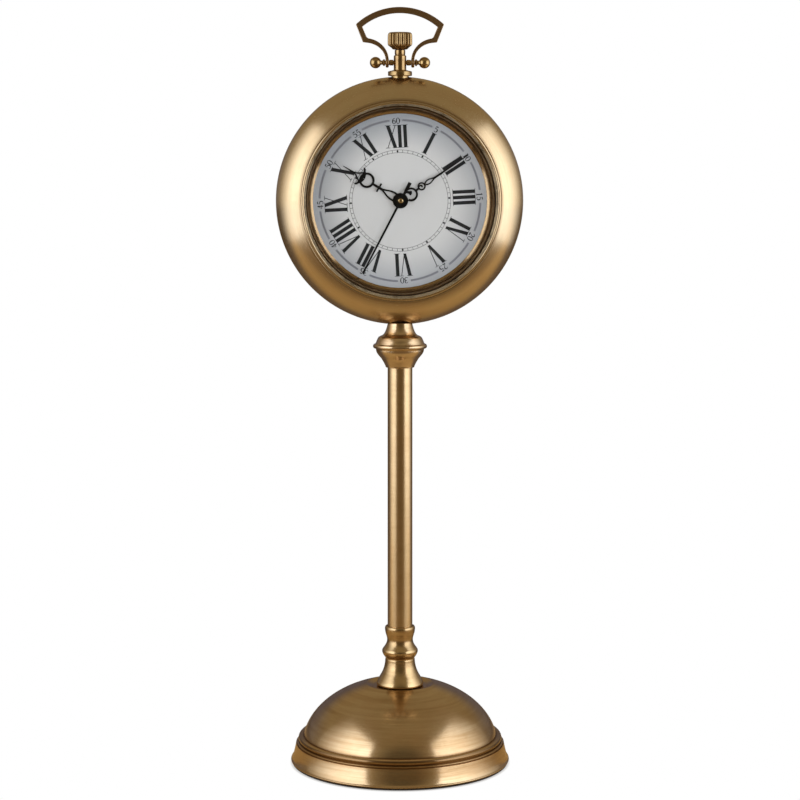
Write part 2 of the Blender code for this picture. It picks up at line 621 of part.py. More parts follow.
def make_bow_screw(name, side, brass):
    """A screw with a small shoulder and a ball end, reaching into the pendant's barrel."""
    shoulder_x = EYELET_X + EYELET_THICKNESS / 2 + 0.5
    neck = asin(BOW_SCREW_RADIUS / BALL_RADIUS)
    profile = [(0, 2.6), (BOW_SCREW_RADIUS, 2.6), (BOW_SCREW_RADIUS, shoulder_x), (2.6, shoulder_x),
               (2.4, shoulder_x + 0.9), (BOW_SCREW_RADIUS, shoulder_x + 1.2)]
    profile += [(BALL_RADIUS * sin(a), BALL_X - BALL_RADIUS * cos(a))
                for a in (neck + (pi - neck) * i / 6 for i in range(6))]
    profile += [(0, BALL_X + BALL_RADIUS)]
    profile = [(r, side * x) for r, x in profile]
    place(name, turned(profile, 10, "X", closed=False), brass, (0, 0, BOW_PIVOT_Z))


# ---------------------------------------------------------------- movement

def gear_outline(teeth, module, phase):
    """Pointed teeth, thin enough for meshing gears to run free. Angles grow from +X to +Z."""
    root = module * (teeth / 2 - ROOT_DEPTH)
    tip = module * (teeth / 2 + TIP_HEIGHT)
    pitch = 2 * pi / teeth
    points = []
    for i in range(teeth):
        for radius, offset in ((tip, 0.0), (root, 0.5)):
            angle = phase + (i + offset) * pitch
            points.append((radius * cos(angle), radius * sin(angle)))
    return points


def mesh_phase(driver_at, driver_teeth, driver_phase, at, teeth):
    """The phase that puts a space of this gear opposite a tooth of the gear it meshes with."""
    towards = atan2(at[1] - driver_at[1], at[0] - driver_at[0])
    driver_offset = (towards - driver_phase) * driver_teeth / (2 * pi)
    return towards + pi - (0.5 - driver_offset) * 2 * pi / teeth


def polar(centre, distance, degrees):
    return (centre[0] + distance * cos(radians(degrees)), centre[1] + distance * sin(radians(degrees)))


def centre_distance(teeth_a, teeth_b, module):
    return module * (teeth_a + teeth_b) / 2


CENTRE = (0.0, 0.0)
THIRD_AT = polar(CENTRE, centre_distance(SECOND_PINION_TEETH, THIRD_TEETH, FAST_MODULE), 0)
INTERMEDIATE_AT = polar(CENTRE, centre_distance(INTERMEDIATE_PINION_TEETH, SECOND_TEETH, FAST_MODULE), 172)
ROTOR_AT = polar(INTERMEDIATE_AT, centre_distance(ROTOR_TEETH, INTERMEDIATE_TEETH, FAST_MODULE), 180)
MINUTE_AT = polar(CENTRE, centre_distance(CANNON_TEETH, MINUTE_TEETH, MOTION_MODULE), 90)
KNOB_AT = polar(MINUTE_AT, centre_distance(MINUTE_TEETH, KNOB_TEETH, MOTION_MODULE), 90)


def train_phases():
    """Tooth phases that put the whole train in mesh at rest."""
    phases = {"second_wheel": 0.0, "second_pinion": 0.0, "cannon": 0.0}
    phases["third_wheel"] = mesh_phase(CENTRE, SECOND_PINION_TEETH, 0.0, THIRD_AT, THIRD_TEETH)
    phases["third_pinion"] = 0.0
    phases["centre_wheel"] = mesh_phase(THIRD_AT, THIRD_PINION_TEETH, 0.0, CENTRE, CENTRE_TEETH)
    phases["intermediate_pinion"] = mesh_phase(CENTRE, SECOND_TEETH, 0.0,
                                               INTERMEDIATE_AT, INTERMEDIATE_PINION_TEETH)
    phases["intermediate_wheel"] = 0.0
    phases["rotor"] = mesh_phase(INTERMEDIATE_AT, INTERMEDIATE_TEETH, 0.0, ROTOR_AT, ROTOR_TEETH)
    phases["minute_wheel"] = mesh_phase(CENTRE, CANNON_TEETH, 0.0, MINUTE_AT, MINUTE_TEETH)
    phases["minute_pinion"] = 0.0
    phases["hour_wheel"] = mesh_phase(MINUTE_AT, MINUTE_PINION_TEETH, 0.0, CENTRE, HOUR_TEETH)
    phases["knob"] = mesh_phase(MINUTE_AT, MINUTE_TEETH, phases["minute_wheel"], KNOB_AT, KNOB_TEETH)
    return phases


def on_axis(at):
    """World place of a movement axis given as (x, z) from the hand axis."""
    return (at[0], 0, CASE_Z + at[1])


def gear_plate(teeth, module, phase, front, back, bore=0.0):
    loops = [gear_outline(teeth, module, phase)]
    if bore:
        loops.append(ring_points(bore, 12))
    return plate(loops, front, back)


def make_train(brass, plastic, magnet):
    phase = train_phases()

    wheel = gear_plate(SECOND_TEETH, FAST_MODULE, phase["second_wheel"], *SECOND_WHEEL_Y)
    pinion = gear_plate(SECOND_PINION_TEETH, FAST_MODULE, phase["second_pinion"], *SECOND_PINION_Y)
    second = place("second_wheel", wheel, plastic, on_axis(CENTRE))
    combine(second, pinion, "UNION")
    combine(second, rod(SECOND_ARBOR_RADIUS, SECOND_ARBOR_FRONT_Y, ARBOR_BACK_Y, 8, "Y"), "UNION")

    wheel = gear_plate(THIRD_TEETH, FAST_MODULE, phase["third_wheel"], *THIRD_WHEEL_Y)
    pinion = gear_plate(THIRD_PINION_TEETH, CENTRE_MODULE, phase["third_pinion"], *THIRD_PINION_Y)
    third = place("third_wheel", wheel, plastic, on_axis(THIRD_AT))
    combine(third, pinion, "UNION")
    combine(third, rod(ARBOR_RADIUS, ARBOR_FRONT_Y, ARBOR_BACK_Y, 8, "Y"), "UNION")

    wheel = gear_plate(CENTRE_TEETH, CENTRE_MODULE, phase["centre_wheel"], *CENTRE_WHEEL_Y, CANNON_BORE)
    place("centre_wheel", wheel, brass, on_axis(CENTRE))

    wheel = gear_plate(INTERMEDIATE_TEETH, FAST_MODULE, phase["intermediate_wheel"], *INTERMEDIATE_WHEEL_Y)
    pinion = gear_plate(INTERMEDIATE_PINION_TEETH, FAST_MODULE, phase["intermediate_pinion"],
                        *INTERMEDIATE_PINION_Y)
    intermediate = place("intermediate_wheel", wheel, plastic, on_axis(INTERMEDIATE_AT))
    combine(intermediate, pinion, "UNION")
    combine(intermediate, rod(ARBOR_RADIUS, INTERMEDIATE_FRONT_Y, ARBOR_BACK_Y, 8, "Y"), "UNION")

    rotor = place("rotor", rod(2.6, *ROTOR_MAGNET_Y, 16, "Y"), magnet, on_axis(ROTOR_AT))
    combine(rotor, gear_plate(ROTOR_TEETH, FAST_MODULE, phase["rotor"], *ROTOR_PINION_Y), "UNION")
    combine(rotor, rod(ARBOR_RADIUS, ARBOR_FRONT_Y, ARBOR_BACK_Y, 8, "Y"), "UNION")

    sleeve = tube(CANNON_RADIUS, CANNON_BORE, *CANNON_TUBE_Y, 12, "Y")
    teeth = gear_plate(CANNON_TEETH, MOTION_MODULE, phase["cannon"], *CANNON_PINION_Y, CANNON_RADIUS - 0.2)
    combine(place("cannon_pinion", sleeve, brass, on_axis(CENTRE)), teeth, "UNION")

    bore = MINUTE_POST_RADIUS + GAP
    wheel = gear_plate(MINUTE_TEETH, MOTION_MODULE, phase["minute_wheel"], *MINUTE_WHEEL_Y, bore)
    pinion = gear_plate(MINUTE_PINION_TEETH, HOUR_MODULE, phase["minute_pinion"], *MINUTE_PINION_Y, bore)
    combine(place("minute_wheel", wheel, plastic, on_axis(MINUTE_AT)), pinion, "UNION")

    sleeve = tube(HOUR_TUBE_RADIUS, HOUR_TUBE_BORE, *HOUR_TUBE_Y, 16, "Y")
    teeth = gear_plate(HOUR_TEETH, HOUR_MODULE, phase["hour_wheel"], *HOUR_WHEEL_Y, HOUR_TUBE_RADIUS - 0.3)
    combine(place("hour_wheel", sleeve, plastic, on_axis(CENTRE)), teeth, "UNION")

    knob = place("setting_knob", tube(KNOB_RADIUS, 2.0, *KNOB_Y, 20, "Y"), plastic, on_axis(KNOB_AT))
    combine(knob, rod(KNOB_ARBOR_RADIUS, *KNOB_ARBOR_Y, 12, "Y"), "UNION")
    combine(knob, gear_plate(KNOB_TEETH, MOTION_MODULE, phase["knob"], *MINUTE_WHEEL_Y), "UNION")


def make_housings(plastic):
    centre = (0, 0, CASE_Z)
    half = MOVEMENT_HALF
    inside = half - HOUSING_WALL
    floor = HOUSING_FRONT_Y + HOUSING_WALL
    over = HOUSING_SPLIT_Y + 1
    shell = block((-half, HOUSING_FRONT_Y, -half), (half, HOUSING_SPLIT_Y, half))
    front = place("movement_front_housing", shell, plastic, centre)
    combine(front, block((-inside, floor, GEAR_ROOM_Z), (inside, over, inside)), "DIFFERENCE")
    combine(front, block((-inside, floor, -inside), (inside, over, BAY_TOP_Z)), "DIFFERENCE")
    combine(front, rod(BUSH_RADIUS, BUSH_TIP_Y, floor - 0.4, 16, "Y"), "UNION")
    combine(front, rod(BUSH_BORE, BUSH_TIP_Y - 1, floor + 1, 16, "Y"), "DIFFERENCE")
    combine(front, rod_at(MINUTE_POST_RADIUS, *MINUTE_AT, floor - 0.4, CANNON_TUBE_Y[1], 8), "UNION")

    start = HOUSING_SPLIT_Y + GAP
    lid = HOUSING_BACK_Y - HOUSING_WALL
    over = HOUSING_BACK_Y + 1
    shell = block((-half, start, -half), (half, HOUSING_BACK_Y, half))
    rear = place("movement_rear_housing", shell, plastic, centre)
    combine(rear, block((-inside, start - 1, GEAR_ROOM_Z), (inside, lid, inside)), "DIFFERENCE")
    combine(rear, block((-inside, start - 1, -inside), (inside, over, BAY_TOP_Z)), "DIFFERENCE")
    combine(rear, rod_at(KNOB_ARBOR_RADIUS + GAP, *KNOB_AT, lid - 1, over, 12), "DIFFERENCE")


def make_drive(copper, steel, board_green, black):
    """Stator, coil, circuit board, chip and quartz crystal, placed from the hand axis."""
    centre = (0, 0, CASE_Z)
    left, right, bottom, top = STATOR_EDGES
    leg = 2.5
    window_bottom = 7.4
    frame = [(left, bottom), (right, bottom), (right, top), (left, top)]
    window = [(left + leg, window_bottom), (right - leg, window_bottom), (right - leg, top - leg),
              (left + leg, top - leg)]
    rotor_hole = ring_points(3.1, 16, 0, ROTOR_AT)
    place("stator", plate([frame, window, rotor_hole], *STATOR_Y), steel, centre)

    coil = tube(3.3, 1.8, 8.2, 20.8, 16, "Z")
    coil.transform(Matrix.Translation(Vector((left + leg / 2, sum(STATOR_Y) / 2, 0)) * MM))
    place("coil", coil, copper, centre)

    place("circuit_board", block(BOARD_LOW, BOARD_HIGH), board_green, centre)
    chip_back = BOARD_LOW[1] - GAP
    place("control_chip", block((18.0, chip_back - 1.2, 12.4), (24.0, chip_back, 17.4)), black, centre)
    crystal = rod(1.5, 7.0, 14.0, 12, "X")
    crystal.transform(Matrix.Translation(Vector((0, 9.5, 22.0)) * MM))
    place("quartz_crystal", crystal, steel, centre)


def make_battery(jacket, steel):
    profile = [(0, BATTERY_LEFT_X), (BATTERY_RADIUS, BATTERY_LEFT_X), (BATTERY_RADIUS, BATTERY_SHOULDER_X),
               (2.7, BATTERY_SHOULDER_X), (2.6, BATTERY_TIP_X), (0, BATTERY_TIP_X)]
    place("battery", turned(profile, 20, "X", closed=False), jacket, (0, BATTERY_Y, CASE_Z + BATTERY_Z))
    centre = (0, 0, CASE_Z)
    sheet = 0.4
    half = 5.0
    places = (("contact_negative", BATTERY_LEFT_X - 2 * sheet), ("contact_positive", BATTERY_TIP_X + sheet))
    for name, x in places:
        low = (x, CONTACT_Y[0], BATTERY_Z - half)
        high = (x + sheet, CONTACT_Y[1], BATTERY_Z + half)
        place(name, block(low, high), steel, centre)


def make_bush_parts(rubber, brass):
    centre = (0, 0, CASE_Z)
    bore = BUSH_RADIUS + GAP
    place("bush_washer", tube(8.0, bore, -0.4, 0.1, 16, "Y"), rubber, centre)
    place("bush_nut", hexagon_nut(NUT_FLATS, bore, BUSH_TIP_Y + 0.4, DIAL_FRONT_Y - GAP, "Y"), brass, centre)


# ---------------------------------------------------------------- hands

def hand_loop(half_outline):
    """Mirror a (distance, half width) outline about the hand's own axis."""
    right = [(w, s) for s, w in half_outline]
    left = [(-w, s) for s, w in half_outline[::-1] if w > 0.01]
    return right + left


def turn_clockwise(loop, angle):
    return [(x * cos(angle) + z * sin(angle), z * cos(angle) - x * sin(angle)) for x, z in loop]


def ring_flank(centre, radius, start, end, steps):
    """Half outline of a ring on the hand, between two distances from its centre."""
    first = acos(max(-1.0, min(1.0, -start / radius)))
    last = acos(max(-1.0, min(1.0, -end / radius)))
    return [(centre - radius * cos(first + (last - first) * i / steps),
             radius * sin(first + (last - first) * i / steps)) for i in range(steps + 1)]


def make_hand(name, half_outline, holes, bore, angle, front, material):
    """A flat hand from its half outline and its holes, turned to its angle about the hand axis."""
    loops = [hand_loop(half_outline)] + [hand_loop(hole) for hole in holes] + [ring_points(bore, 16)]
    loops = [turn_clockwise(loop, angle) for loop in loops]
    place(name, plate(loops, front, front + HAND_THICKNESS), material, (0, 0, CASE_Z))


def make_hands(black, brass):
    hub = ring_flank(0, HUB_RADIUS, -HUB_RADIUS, 5.0, 8)

    ring_at = 28.3
    hour = hub + [(9.5, 2.3), (12.0, 1.9), (15.0, 0.9), (17.6, 0.6), (17.7, 2.6), (18.6, 2.6), (18.7, 0.6),
                  (22.3, 0.7)]
    hour += ring_flank(ring_at, 5.6, -5.5, 5.3, 10)
    hour += [(35.5, 2.2), (38.0, 1.6), (HOUR_LENGTH, 0.0)]
    teardrop = [(7.0, 0.0), (7.6, 1.0), (9.5, 1.1), (12.0, 0.8), (14.2, 0.0)]
    ring_hole = ring_flank(ring_at, 4.2, -4.2, 4.2, 8)
    make_hand("hour_hand", hour, [teardrop, ring_hole], HOUR_TUBE_RADIUS + GAP, HOUR_ANGLE,
              HOUR_HAND_Y, black)

    scroll_at = 9.2
    small_at = 18.5
    minute = hub + ring_flank(scroll_at, 4.4, -2.6, 3.9, 6) + [(14.6, 0.8)]
    minute += ring_flank(small_at, 2.9, -2.7, 2.6, 7)
    minute += [(23.5, 1.8), (26.0, 1.5), (29.2, 0.7), (45.0, 0.4), (MINUTE_LENGTH, 0.0)]
    scroll_hole = hand_close(ring_flank(scroll_at, 3.0, -1.6, 2.9, 6))
    small_hole = ring_flank(small_at, 1.8, -1.8, 1.8, 6)
    drop_hole = [(22.2, 0.0), (23.0, 0.8), (25.0, 0.7), (27.0, 0.0)]
    make_hand("minute_hand", minute, [scroll_hole, small_hole, drop_hole], CANNON_RADIUS + GAP, MINUTE_ANGLE,
              MINUTE_HAND_Y, black)
    nut = tube(2.7, CANNON_RADIUS + GAP, CANNON_TUBE_Y[0], MINUTE_HAND_Y - GAP, 16, "Y")
    place("minute_hand_nut", nut, brass, (0, 0, CASE_Z))

    boss = ring_flank(0, BOSS_RADIUS, -0.94 * BOSS_RADIUS, 0.94 * BOSS_RADIUS, 6)
    second = [(-SECOND_TAIL, 1.3)] + boss + [(5.0, 0.6), (SECOND_LENGTH, 0.25)]
    bore = SECOND_ARBOR_RADIUS + GAP
    make_hand("second_hand", second, [], bore, SECOND_ANGLE, SECOND_HAND_Y, black)
    bush_back = SECOND_HAND_Y - GAP
    bush = [(0, BUSH_FRONT_Y), (1.4, BUSH_FRONT_Y), (1.8, BUSH_FRONT_Y + 0.4), (1.8, bush_back),
            (bore, bush_back), (bore, BUSH_INSIDE_Y), (0, BUSH_INSIDE_Y)]
    place("second_hand_bush", turned(bush, 14, "Y", closed=False), brass, (0, 0, CASE_Z))


def hand_close(half_outline):
    """Draw both ends of a hole's half outline in to the hand's axis."""
    return [(half_outline[0][0], 0.0)] + half_outline + [(half_outline[-1][0], 0.0)]


def main():
    clear_scene()
    brass = make_material("antique_brass", (0.55, 0.37, 0.18), 0.32, 1.0)
    dark_brass = make_material("aged_brass", (0.30, 0.19, 0.09), 0.4, 1.0)
    iron = make_material("cast_iron", (0.09, 0.09, 0.09), 0.7, 1.0)
    steel = make_material("zinc_steel", (0.56, 0.56, 0.55), 0.35, 1.0)
    felt = make_material("dark_felt", (0.03, 0.022, 0.016), 0.95)
    glass = make_material("clear_glass", (0.95, 0.97, 0.97), 0.03, 0.0, 0.2)
    rubber = make_material("black_rubber", (0.02, 0.02, 0.02), 0.6)
    dial_paint = make_material("silver_dial", (0.58, 0.58, 0.57), 0.55)
    black = make_material("black_enamel", (0.012, 0.012, 0.013), 0.35)
    housing = make_material("black_plastic", (0.03, 0.03, 0.032), 0.5)
    wheels = make_material("white_plastic", (0.8, 0.79, 0.75), 0.45)
    copper = make_material("copper_wire", (0.62, 0.27, 0.13), 0.3, 1.0)
    magnet = make_material("ferrite", (0.08, 0.08, 0.085), 0.4, 0.6)
    board = make_material("circuit_green", (0.03, 0.16, 0.07), 0.45)
    jacket = make_material("battery_jacket", (0.05, 0.06, 0.07), 0.3)

    make_foot(brass, iron, felt)
    make_pillar(brass, steel)
    make_shells(brass)
    make_front_stack(brass, glass, rubber, dial_paint, steel)
    make_rear_cover(brass, steel)
    make_pendant(brass, steel)
    make_crown(brass)
    make_bow(dark_brass)
    make_bow_screw("bow_screw_left", -1, brass)
    make_bow_screw("bow_screw_right", 1, brass)
    make_housings(housing)
    make_drive(copper, steel, board, black)
    make_train(brass, wheels, magnet)
    make_battery(jacket, steel)
    make_bush_parts(rubber, brass)
    make_hands(black, brass)


main()
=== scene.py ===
import json
from math import asin, cos, degrees, pi, radians, sin

import bmesh
import bpy
from mathutils import Matrix, Vector


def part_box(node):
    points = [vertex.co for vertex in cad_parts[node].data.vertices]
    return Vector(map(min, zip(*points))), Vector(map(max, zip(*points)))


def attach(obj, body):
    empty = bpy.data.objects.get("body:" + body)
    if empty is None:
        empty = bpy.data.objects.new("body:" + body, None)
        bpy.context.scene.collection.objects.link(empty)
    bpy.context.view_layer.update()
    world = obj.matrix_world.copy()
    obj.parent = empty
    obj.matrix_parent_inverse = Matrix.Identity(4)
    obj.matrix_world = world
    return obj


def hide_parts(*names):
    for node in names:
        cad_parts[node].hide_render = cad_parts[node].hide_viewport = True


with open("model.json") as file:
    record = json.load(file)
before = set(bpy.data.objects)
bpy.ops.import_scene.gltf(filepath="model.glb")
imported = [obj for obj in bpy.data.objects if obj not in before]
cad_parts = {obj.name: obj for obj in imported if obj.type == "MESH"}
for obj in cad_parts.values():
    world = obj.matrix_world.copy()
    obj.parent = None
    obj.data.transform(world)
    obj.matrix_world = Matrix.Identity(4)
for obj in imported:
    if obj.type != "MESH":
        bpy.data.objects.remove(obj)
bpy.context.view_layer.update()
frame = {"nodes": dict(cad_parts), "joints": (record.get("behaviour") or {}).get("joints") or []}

# A table-top pedestal clock: a pocket-watch case on a turned pillar and a domed foot.
# Lengths are in millimetres and become metres when a mesh is made. The dial faces -Y.
MM = 0.001
ROUND = 160                    # steps round the large turned pieces
ROUND_SMALL = 72
SHARP_ANGLE = 32               # degrees between faces from which an edge looks sharp


# ---- places taken from the frame

def box_mm(node):
    low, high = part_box(node)
    return low / MM, high / MM


case_low, case_high = box_mm("front_shell")
CASE_RADIUS = (case_high.x - case_low.x) / 2
CASE_Z = (case_high.z + case_low.z) / 2
CASE_CENTRE = (0, 0, CASE_Z)
FRONT_Y = case_low.y
SEAM_Y = case_high.y
BACK_Y = box_mm("rear_shell")[1].y
DIAL_FRONT_Y = box_mm("dial_plate")[0].y
DIAL_RADIUS = box_mm("dial_plate")[1].x
LENS_LOW, LENS_HIGH = box_mm("lens")
COLLAR_BOTTOM_Z = box_mm("lower_collar")[0].z
COLLAR_TOP_Z = box_mm("lower_collar")[1].z
FERRULE_BOTTOM_Z = box_mm("upper_ferrule")[0].z
FERRULE_TOP_Z = box_mm("upper_ferrule")[1].z
PILLAR_RADIUS = box_mm("pillar_tube")[1].x
SOCKET_RADIUS = PILLAR_RADIUS + 0.25       # where the collar and the ferrule take the pillar
BOW_PIVOT = (0, 0, next(j for j in frame["joints"] if j["name"] == "bow_swing")["pos_m"][2] / MM)
BOW_TOP_Z = box_mm("bow")[1].z
BOW_HALF_WIDTH = box_mm("bow")[1].x
CROWN_LOW, CROWN_HIGH = box_mm("crown")
HOUR_Y = box_mm("hour_hand")[0].y
MINUTE_Y = box_mm("minute_hand")[0].y
SECOND_Y = box_mm("second_hand")[0].y
NUT_LOW, NUT_HIGH = box_mm("minute_hand_nut")
BUSH_LOW, BUSH_HIGH = box_mm("second_hand_bush")

HOUR_ANGLE = radians(301.3)    # clockwise from twelve
MINUTE_ANGLE = radians(56.1)
SECOND_ANGLE = radians(207.6)
DIAL_TURN = radians(-3.0)      # the dial sits a little anticlockwise in its case
HAND_THICKNESS = 0.5


# ---- lines

def arc(centre, radii, start, end, steps):
    """Points of an elliptical arc; angles in degrees."""
    a = radians(start)
    b = radians(end)
    return [(centre[0] + radii[0] * cos(a + (b - a) * i / steps),
             centre[1] + radii[1] * sin(a + (b - a) * i / steps)) for i in range(steps + 1)]


def arch(centre, radii, start, end, steps):
    """An arc that leaves out its first point, for chaining profiles."""
    return arc(centre, radii, start, end, steps)[1:]


def curve(points, steps=6):
    """A smooth Catmull-Rom line through the points."""
    padded = [points[0]] + list(points) + [points[-1]]
    line = []
    for i in range(1, len(padded) - 2):
        p0, p1, p2, p3 = (Vector(p) for p in padded[i - 1:i + 3])
        for k in range(steps):
            t = k / steps
            spot = 0.5 * (2 * p1 + (p2 - p0) * t + (2 * p0 - 5 * p1 + 4 * p2 - p3) * t * t
                          + (3 * p1 - p0 - 3 * p2 + p3) * t ** 3)
            line.append(tuple(spot))
    line.append(tuple(points[-1]))
    return line


def rounded(points, radius, steps=4):
    """Round the inner corners of an open line; each corner keeps within half of its sides."""
    line = [points[0]]
    for before, corner, after in zip(points, points[1:], points[2:]):
        corner = Vector(corner)
        sides = [Vector(end) - corner for end in (before, after)]
        reach = min([radius] + [side.length * 0.45 for side in sides])
        start, end = (corner + side.normalized() * reach for side in sides)
        for t in (k / steps for k in range(steps + 1)):
            line.append(tuple(start * (1 - t) ** 2 + corner * 2 * t * (1 - t) + end * t * t))
    line.append(points[-1])
    return line


def ring_points(radius, count, centre):
    return [(centre[0] + radius * cos(2 * pi * i / count),
             centre[1] + radius * sin(2 * pi * i / count)) for i in range(count)]


def ribbon(line, widths):
    """Outline of a strip along a line; widths are full widths at evenly spread points of the line."""
    left = []
    right = []
    last = len(line) - 1
    for i, spot in enumerate(line):
        before = Vector(line[max(i - 1, 0)])
        after = Vector(line[min(i + 1, last)])
        along = (after - before).normalized()
        place = i / last * (len(widths) - 1)
        k = min(int(place), len(widths) - 2)
        half = (widths[k] + (widths[k + 1] - widths[k]) * (place - k)) / 2
        left.append((spot[0] - along[1] * half, spot[1] + along[0] * half))
        right.append((spot[0] + along[1] * half, spot[1] - along[0] * half))
    return left + right[::-1]


# ---- meshes

def shade(mesh, sharp=SHARP_ANGLE):
    mesh.shade_smooth()
    mesh.set_sharp_from_angle(angle=radians(sharp))
    return mesh


def finish_mesh(name, bm, sharp=SHARP_ANGLE):
    """Turn a bmesh in millimetres into a smooth-shaded mesh in metres."""
    bmesh.ops.recalc_face_normals(bm, faces=bm.faces)
    mesh = bpy.data.meshes.new(name)
    bm.to_mesh(mesh)
    bm.free()
    mesh.transform(Matrix.Scale(MM, 4))
    return shade(mesh, sharp)


def turned(profile, steps=ROUND, axis="Z", closed=True, centre=(0, 0, 0), sharp=SHARP_ANGLE):
    """Spin (radius, height) points about an axis through the centre."""
    bm = bmesh.new()
    to_point = {
        "X": lambda r, h: (h, 0, r),
        "Y": lambda r, h: (r, h, 0),
        "Z": lambda r, h: (r, 0, h),
    }[axis]
    verts = [bm.verts.new(to_point(r, h)) for r, h in profile]
    edges = [bm.edges.new(pair) for pair in zip(verts, verts[1:] + verts[:closed])]
    bmesh.ops.spin(bm, geom=verts + edges, cent=(0, 0, 0), axis=to_point(0, 1), angle=2 * pi,
                   steps=steps, use_merge=True, use_duplicate=False)
    bmesh.ops.remove_doubles(bm, verts=bm.verts, dist=1e-4)
    bmesh.ops.translate(bm, vec=centre, verts=bm.verts)
    return finish_mesh("turned", bm, sharp)


def turned_about_dial(profile, steps=ROUND, closed=True, sharp=SHARP_ANGLE):
    """Spin (radius, y) points about the dial's axis."""
    return turned(profile, steps, "Y", closed, CASE_CENTRE, sharp)


def plates(shapes, front, back, centre=(0, 0, 0)):
    """One mesh of flat solids in the XZ plane; a shape is a list of loops, its outline and then its holes."""
    bm = bmesh.new()
    for loops in shapes:
        edges = []
        for loop in loops:
            verts = [bm.verts.new((x, front, z)) for x, z in loop]
            edges += [bm.edges.new(pair) for pair in zip(verts, verts[1:] + verts[:1])]
        filled = bmesh.ops.triangle_fill(bm, use_beauty=True, edges=edges, normal=(0, -1, 0))
        faces = [item for item in filled["geom"] if isinstance(item, bmesh.types.BMFace)]
        skin = bmesh.ops.extrude_face_region(bm, geom=faces)
        moved = [item for item in skin["geom"] if isinstance(item, bmesh.types.BMVert)]
        bmesh.ops.translate(bm, vec=(0, back - front, 0), verts=moved)
    bmesh.ops.translate(bm, vec=centre, verts=bm.verts)
    return finish_mesh("plates", bm)


def combined(meshes, operation):
    """The first mesh with the others joined to it or cut from it."""
    helpers = [bpy.data.objects.new(f"shape_{i}", mesh) for i, mesh in enumerate(meshes)]
    for helper in helpers:
        bpy.context.scene.collection.objects.link(helper)
    for helper in helpers[1:]:
        modifier = helpers[0].modifiers.new(helper.name, "BOOLEAN")
        modifier.operation = operation
        modifier.solver = "EXACT"
        modifier.object = helper
    bpy.context.view_layer.update()
    result = helpers[0].evaluated_get(bpy.context.evaluated_depsgraph_get())
    mesh = bpy.data.meshes.new_from_object(result)
    for helper in helpers:
        bpy.data.objects.remove(helper, do_unlink=True)
    return shade(mesh)


def bevel(obj, width, segments=2, angle=35):
    modifier = obj.modifiers.new("edge_rounding", "BEVEL")
    modifier.width = width * MM
    modifier.segments = segments
    modifier.limit_method = "ANGLE"
    modifier.angle_limit = radians(angle)
    modifier.harden_normals = True


def piece(name, mesh, material, body="clock", replaced=()):
    """Put a piece in the scene, on its body, and let it stand for CAD nodes."""
    mesh.materials.append(material)
    obj = bpy.data.objects.new(name, mesh)
    bpy.context.scene.collection.objects.link(obj)
    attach(obj, body)
    if replaced:
        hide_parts(*replaced)
    return obj


def fine(node, mesh, material, body="clock"):
    """A finer piece in place of one CAD node."""
    return piece(f"{node}_fine", mesh, material, body, [node])


# ---- node trees

class Value:
    """A number worked out by nodes, for use in sums and products."""

    def __init__(self, nodes, socket):
        self.nodes = nodes
        self.socket = socket

    def __add__(self, other):
        return self.nodes.math("ADD", self, other)

    def __sub__(self, other):
        return self.nodes.math("SUBTRACT", self, other)

    def __mul__(self, other):
        return self.nodes.math("MULTIPLY", self, other)


class Nodes:
    """Adds and links the nodes of one tree; a node's kind leaves out its ShaderNode prefix."""

    def __init__(self, tree, output):
        self.tree = tree
        tree.nodes.clear()
        self.output = tree.nodes.new(f"ShaderNodeOutput{output}")

    def feed(self, entry, value):
        """Link a value to a node's input, or set the input to a number or a colour."""
        if isinstance(value, Value):
            value = value.socket
        if isinstance(value, bpy.types.NodeSocket):
            self.tree.links.new(value, entry)
        elif entry.type == "RGBA":
            entry.default_value = (*value[:3], 1.0)
        else:
            entry.default_value = value

    def add(self, kind, inputs=None, **settings):
        node = self.tree.nodes.new(f"ShaderNode{kind}")
        for name, value in settings.items():
            setattr(node, name, value)
        for key, value in (inputs or {}).items():
            self.feed(node.inputs[key], value)
        return node

    def show(self, shader):
        self.tree.links.new(shader.outputs[0], self.output.inputs["Surface"])

    def math(self, operation, first, second=0.0, clamp=False):
        node = self.add("Math", {0: first, 1: second}, operation=operation, use_clamp=clamp)
        return Value(self, node.outputs[0])

    def vector_math(self, operation, first, second=(0, 0, 0)):
        return self.add("VectorMath", {0: first, 1: second}, operation=operation)

    def parts(self, vector):
        """The x, y and z of a vector."""
        return [Value(self, part) for part in self.add("SeparateXYZ", {0: vector}).outputs]

    def noise(self, vector, scale, detail=3.0, roughness=0.55, distortion=0.0):
        inputs = {"Vector": vector, "Scale": scale, "Detail": detail, "Roughness": roughness,
                  "Distortion": distortion}
        node = self.add("TexNoise", inputs)
        return Value(self, node.outputs["Fac"])

    def spread(self, value, low, high, to_low=0.0, to_high=1.0, kind="LINEAR"):
        """Map a value's span onto another, clamped."""
        inputs = {"Value": value, "From Min": low, "From Max": high, "To Min": to_low, "To Max": to_high}
        node = self.add("MapRange", inputs, interpolation_type=kind)
        return Value(self, node.outputs["Result"])

    def blend(self, factor, first, second):
        return self.add("Mix", {0: factor, 6: first, 7: second}, data_type="RGBA").outputs[2]

    def bump(self, height, strength, distance_mm, normal=None):
        inputs = {"Height": height, "Strength": strength, "Distance": distance_mm * MM}
        if normal is not None:
            inputs["Normal"] = normal
        return self.add("Bump", inputs).outputs["Normal"]

    def camera_split(self, seen, lit):
        """One shader for what the camera sees and another for light and reflections."""
        camera_ray = self.add("LightPath").outputs["Is Camera Ray"]
        self.show(self.add("MixShader", {0: camera_ray, 1: lit.outputs[0], 2: seen.outputs[0]}))


